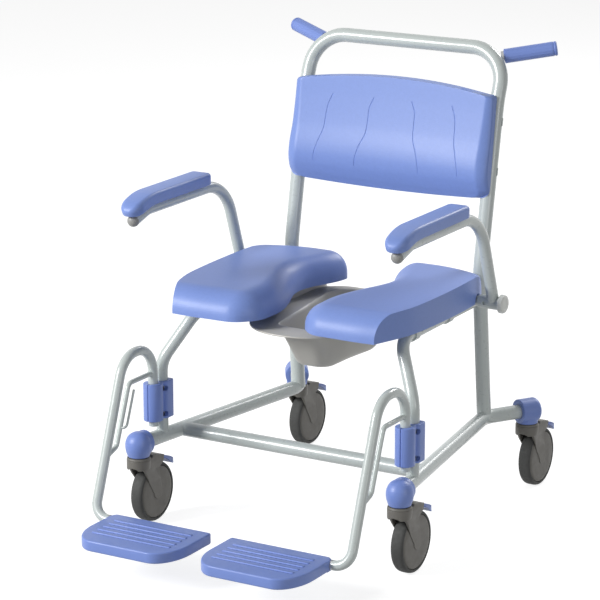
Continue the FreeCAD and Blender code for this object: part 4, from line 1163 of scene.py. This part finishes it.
class CHAIR_OT_castors(bpy.types.Operator):
    """Model a castor once and copy it to the four corners, with their socket caps"""
    bl_idname = "chair.castors"
    bl_label = "Castors"

    def execute(self, context):
        fork, pedal = self.fork(), self.pedal()
        tyre = lathe("castor_tread", spun_half(TYRE_HALF), WHEEL_STEPS, AXLE)
        disc = lathe("castor_disc", spun_half(DISC_HALF), WHEEL_STEPS, AXLE)
        pieces = ((fork, "castor_", "fork_grey", "castor_fork_"),
                  (pedal, "brake_", "mould_blue", "castor_pedal_"),
                  (tyre, "wheel_", "tyre_grey", "castor_tyre_"),
                  (disc, "wheel_", "hub_grey", "castor_hub_"))
        for corner in CORNERS:
            stem = joint_place("castor_" + corner + "_swivel")
            for piece, body, slot, node in pieces:
                copy = moved_copy(piece, piece.name + "_" + corner, (stem.x, stem.y, 0))
                settle(copy, body + corner, slot, FINISHES[slot], [node + corner])
        for piece, *_ in pieces:
            bpy.data.objects.remove(piece)
        for end in ("front", "rear"):
            cap = self.socket(end)
            node = "castor_cap_" + end + "_"
            settle_pair(cap, "frame", "mould_blue", FINISHES["mould_blue"], node, SOCKET_SMOOTH)
        return {"FINISHED"}

    def socket(self, end):
        """In front a ball over the stem, with a sleeve round the tube's end; behind a round-ended sleeve."""
        name = "socket_" + end + "_left"
        if end == "rear":
            return soften(copy_of("castor_cap_rear_left", name), *REAR_SOFT)
        stem = joint_place("castor_front_left_swivel")
        heart = Vector((stem.x, stem.y, SOCKET_HEIGHT))
        way = (Vector((UPRIGHT_FOOT[0], UPRIGHT_FOOT[1] + ZERO_Y, SOCKET_HEIGHT)) - heart).normalized()
        cap = aim(lathe(name, SOCKET_SIDE, 72), (0, 0, 1), heart)
        carve(cap, rod("sleeve", heart, heart + way * SOCKET_SLEEVE, SOCKET_R, 64), "UNION")
        start, stop, radius = TUBE_ROOM
        carve(cap, rod("tube_room", heart + way * start, heart + way * stop, radius, 64))
        return soften(cap, *FRONT_SOFT)

    def fork(self):
        """A round head and two cheeks that thin out to the rear, with a ring under the socket."""
        hood = side_slab("castor_hood", FORK_SIDE, FORK_HALF)
        carve(hood, rod("head", (0, 0, FORK_HEAD_FOOT), (0, 0, FORK_HEAD_TOP), FORK_HEAD_R, 64), "UNION")
        well = Vector((FORK_WELL, 0, 0))
        carve(hood, rod("well", AXLE - well, AXLE + well, WHEEL_ROOM, 96))
        arch = [(x / 1000, FORK_ARCH_START, z / 1000) for x, z in FORK_ARCH]
        carve(hood, slab("arch", arch, (0, FORK_ARCH_RUN, 0)))
        carve(hood, side_slab("pedal_room", PEDAL_ROOM, PEDAL_ROOM_HALF))
        soften(hood, *FORK_SOFT)
        start, end = CHEEK_FRONT
        across = Vector((start.y - end.y, end.x - start.x)).normalized()
        for vertex in hood.data.vertices:
            out, z = abs(vertex.co.x), vertex.co.z
            flare = within((z - FORK_FLARE[0]) / (FORK_FLARE[1] - FORK_FLARE[0]))
            if out > FORK_HALF:
                out = FORK_HALF + (out - FORK_HALF) * flare ** 2 * (3 - 2 * flare)
            if out > FORK_WELL + CHEEK_SKIN and z < THIN_TOP:
                behind = (Vector((vertex.co.y, z)) * 1000 - start).dot(across)
                thin = within((behind - THIN_START) / THIN_RUN) * within((THIN_TOP - z) / THIN_FADE)
                thin = max(thin, within((THIN_FOOT - z) / THIN_FOOT_RUN))
                out = FORK_WELL + (out - FORK_WELL) * (1 - THIN_MOST * thin)
            vertex.co.x = math.copysign(out, vertex.co.x)
        return join(hood, aim(lathe("ring", FORK_RING), (0, 0, 1), (0, 0, FORK_HEAD_TOP + RING_GAP)))

    def pedal(self):
        """A bent lever, widest behind its pivot and narrow again at its tip."""
        lever = side_slab("castor_lever", PEDAL_SIDE, PEDAL_HALF)
        for vertex in lever.data.vertices:
            vertex.co.x *= level(PEDAL_WIDTH, vertex.co.y * 1000)
        round_edges(lever, PEDAL_EDGE, 3)
        return lever


# Stage

FLOOR_SIZE = 60
FLOOR_SHADE, FLOOR_GLOW = 0.40, 0.82    # share of the light that it returns, and its own light to the eye
WORLD_LIGHT = 0.20
LAMPS = (("key", (-3.0, -3.8, 2.7), 1.6, 280), ("rim", (0.6, 4.4, 3.3), 1.4, 115),
         ("fill", (4.6, -1.6, 1.3), 2.0, 38))    # name, place, size, power
LAMP_TARGET = Vector((0, 0, 0.45))
CAMERA_PLACE = (2.6426, -4.6025 + ZERO_Y, 1.8889)
CAMERA_DOWN, CAMERA_ROUND = 14.94, 30.19    # degrees
CAMERA_SENSOR, CAMERA_LENS = 36, 164.5


class CHAIR_OT_stage(bpy.types.Operator):
    """Set up the floor, the light and the camera"""
    bl_idname = "chair.stage"
    bl_label = "Stage"

    def execute(self, context):
        scene = context.scene
        scene.view_settings.view_transform = "Standard"
        fresh()
        bpy.ops.mesh.primitive_plane_add(size=FLOOR_SIZE)
        floor = called("floor")
        floor.data.materials.append(self.pale("floor_white", FLOOR_SHADE))
        world = scene.world or bpy.data.worlds.new("studio")
        scene.world = world
        world.use_nodes = True
        tree = world.node_tree
        tree.nodes.clear()
        out = tree.nodes.new("ShaderNodeOutputWorld")
        seen, lit = tree.nodes.new("ShaderNodeBackground"), tree.nodes.new("ShaderNodeBackground")
        seen.inputs["Color"].default_value = (1, 1, 1, 1)
        lit.inputs["Color"].default_value = (1, 1, 1, 1)
        lit.inputs["Strength"].default_value = WORLD_LIGHT
        mix = tree.nodes.new("ShaderNodeMixShader")
        tree.links.new(self.looked_at(tree), mix.inputs["Fac"])
        tree.links.new(lit.outputs["Background"], mix.inputs[1])
        tree.links.new(seen.outputs["Background"], mix.inputs[2])
        tree.links.new(mix.outputs["Shader"], out.inputs["Surface"])
        for lamp in LAMPS:
            self.lamp(*lamp)
        fresh()
        turn = (math.radians(90 - CAMERA_DOWN), 0, math.radians(CAMERA_ROUND))
        bpy.ops.object.camera_add(location=CAMERA_PLACE, rotation=turn)
        camera = bpy.context.object
        camera.data.sensor_width = CAMERA_SENSOR
        camera.data.lens = CAMERA_LENS
        scene.camera = camera
        return {"FINISHED"}

    def looked_at(self, tree):
        """1 where the eye sees a surface straight, mirrored or through glass, and 0 for other light."""
        path = tree.nodes.new("ShaderNodeLightPath")
        total = path.outputs["Is Camera Ray"]
        for kind in ("Is Glossy Ray", "Is Transmission Ray"):
            add = tree.nodes.new("ShaderNodeMath")
            add.operation = "ADD"
            add.use_clamp = True
            tree.links.new(total, add.inputs[0])
            tree.links.new(path.outputs[kind], add.inputs[1])
            total = add.outputs["Value"]
        return total

    def pale(self, name, shade):
        """White to the eye, with a share of the light that falls on it, so that a soft shadow stays."""
        material = bpy.data.materials.new(name)
        material.use_nodes = True
        tree = material.node_tree
        tree.nodes.clear()
        out = tree.nodes.new("ShaderNodeOutputMaterial")
        matt, glow = tree.nodes.new("ShaderNodeBsdfDiffuse"), tree.nodes.new("ShaderNodeEmission")
        matt.inputs["Color"].default_value = (shade, shade, shade, 1)
        share = tree.nodes.new("ShaderNodeMath")
        share.operation = "MULTIPLY"
        share.inputs[1].default_value = FLOOR_GLOW
        both = tree.nodes.new("ShaderNodeAddShader")
        tree.links.new(self.looked_at(tree), share.inputs[0])
        tree.links.new(share.outputs["Value"], glow.inputs["Strength"])
        tree.links.new(matt.outputs["BSDF"], both.inputs[0])
        tree.links.new(glow.outputs["Emission"], both.inputs[1])
        tree.links.new(both.outputs["Shader"], out.inputs["Surface"])
        return material

    def lamp(self, name, place, size, power):
        fresh()
        bpy.ops.object.light_add(type="AREA", location=place)
        lamp = bpy.context.object
        lamp.name = name
        lamp.data.size = size
        lamp.data.energy = power
        way = LAMP_TARGET - Vector(place)
        lamp.rotation_euler = way.to_track_quat("-Z", "Y").to_euler()


# Panel

OPERATORS = (CHAIR_OT_finishes, CHAIR_OT_seat, CHAIR_OT_backrest, CHAIR_OT_armrests, CHAIR_OT_grips,
             CHAIR_OT_pan, CHAIR_OT_footrests, CHAIR_OT_castors, CHAIR_OT_stage)


class CHAIR_PT_panel(bpy.types.Panel):
    """The chair's sizes, colours and pieces"""
    bl_idname = "CHAIR_PT_panel"
    bl_label = "Shower commode chair"
    bl_space_type = "VIEW_3D"
    bl_region_type = "UI"
    bl_category = "Chair"

    def draw(self, context):
        for group in (context.scene.chair_sizes, context.scene.chair_colours):
            box = self.layout.box()
            for key in group.bl_rna.properties.keys():
                if key not in ("rna_type", "name"):
                    box.prop(group, key)
        for operator in OPERATORS:
            self.layout.operator(operator.bl_idname)


CLASSES = (ChairSizes, ChairColours, *OPERATORS, CHAIR_PT_panel)


def register():
    for item in CLASSES:
        bpy.utils.register_class(item)
    bpy.types.Scene.chair_sizes = bpy.props.PointerProperty(type=ChairSizes)
    bpy.types.Scene.chair_colours = bpy.props.PointerProperty(type=ChairColours)


def unregister():
    del bpy.types.Scene.chair_colours
    del bpy.types.Scene.chair_sizes
    for item in reversed(CLASSES):
        bpy.utils.unregister_class(item)


def main():
    register()
    bpy.ops.chair.finishes()
    bpy.ops.chair.seat()
    bpy.ops.chair.backrest()
    bpy.ops.chair.armrests()
    bpy.ops.chair.grips()
    bpy.ops.chair.pan()
    bpy.ops.chair.footrests()
    bpy.ops.chair.castors()
    bpy.ops.chair.stage()


if __name__ == "__main__":
    main()
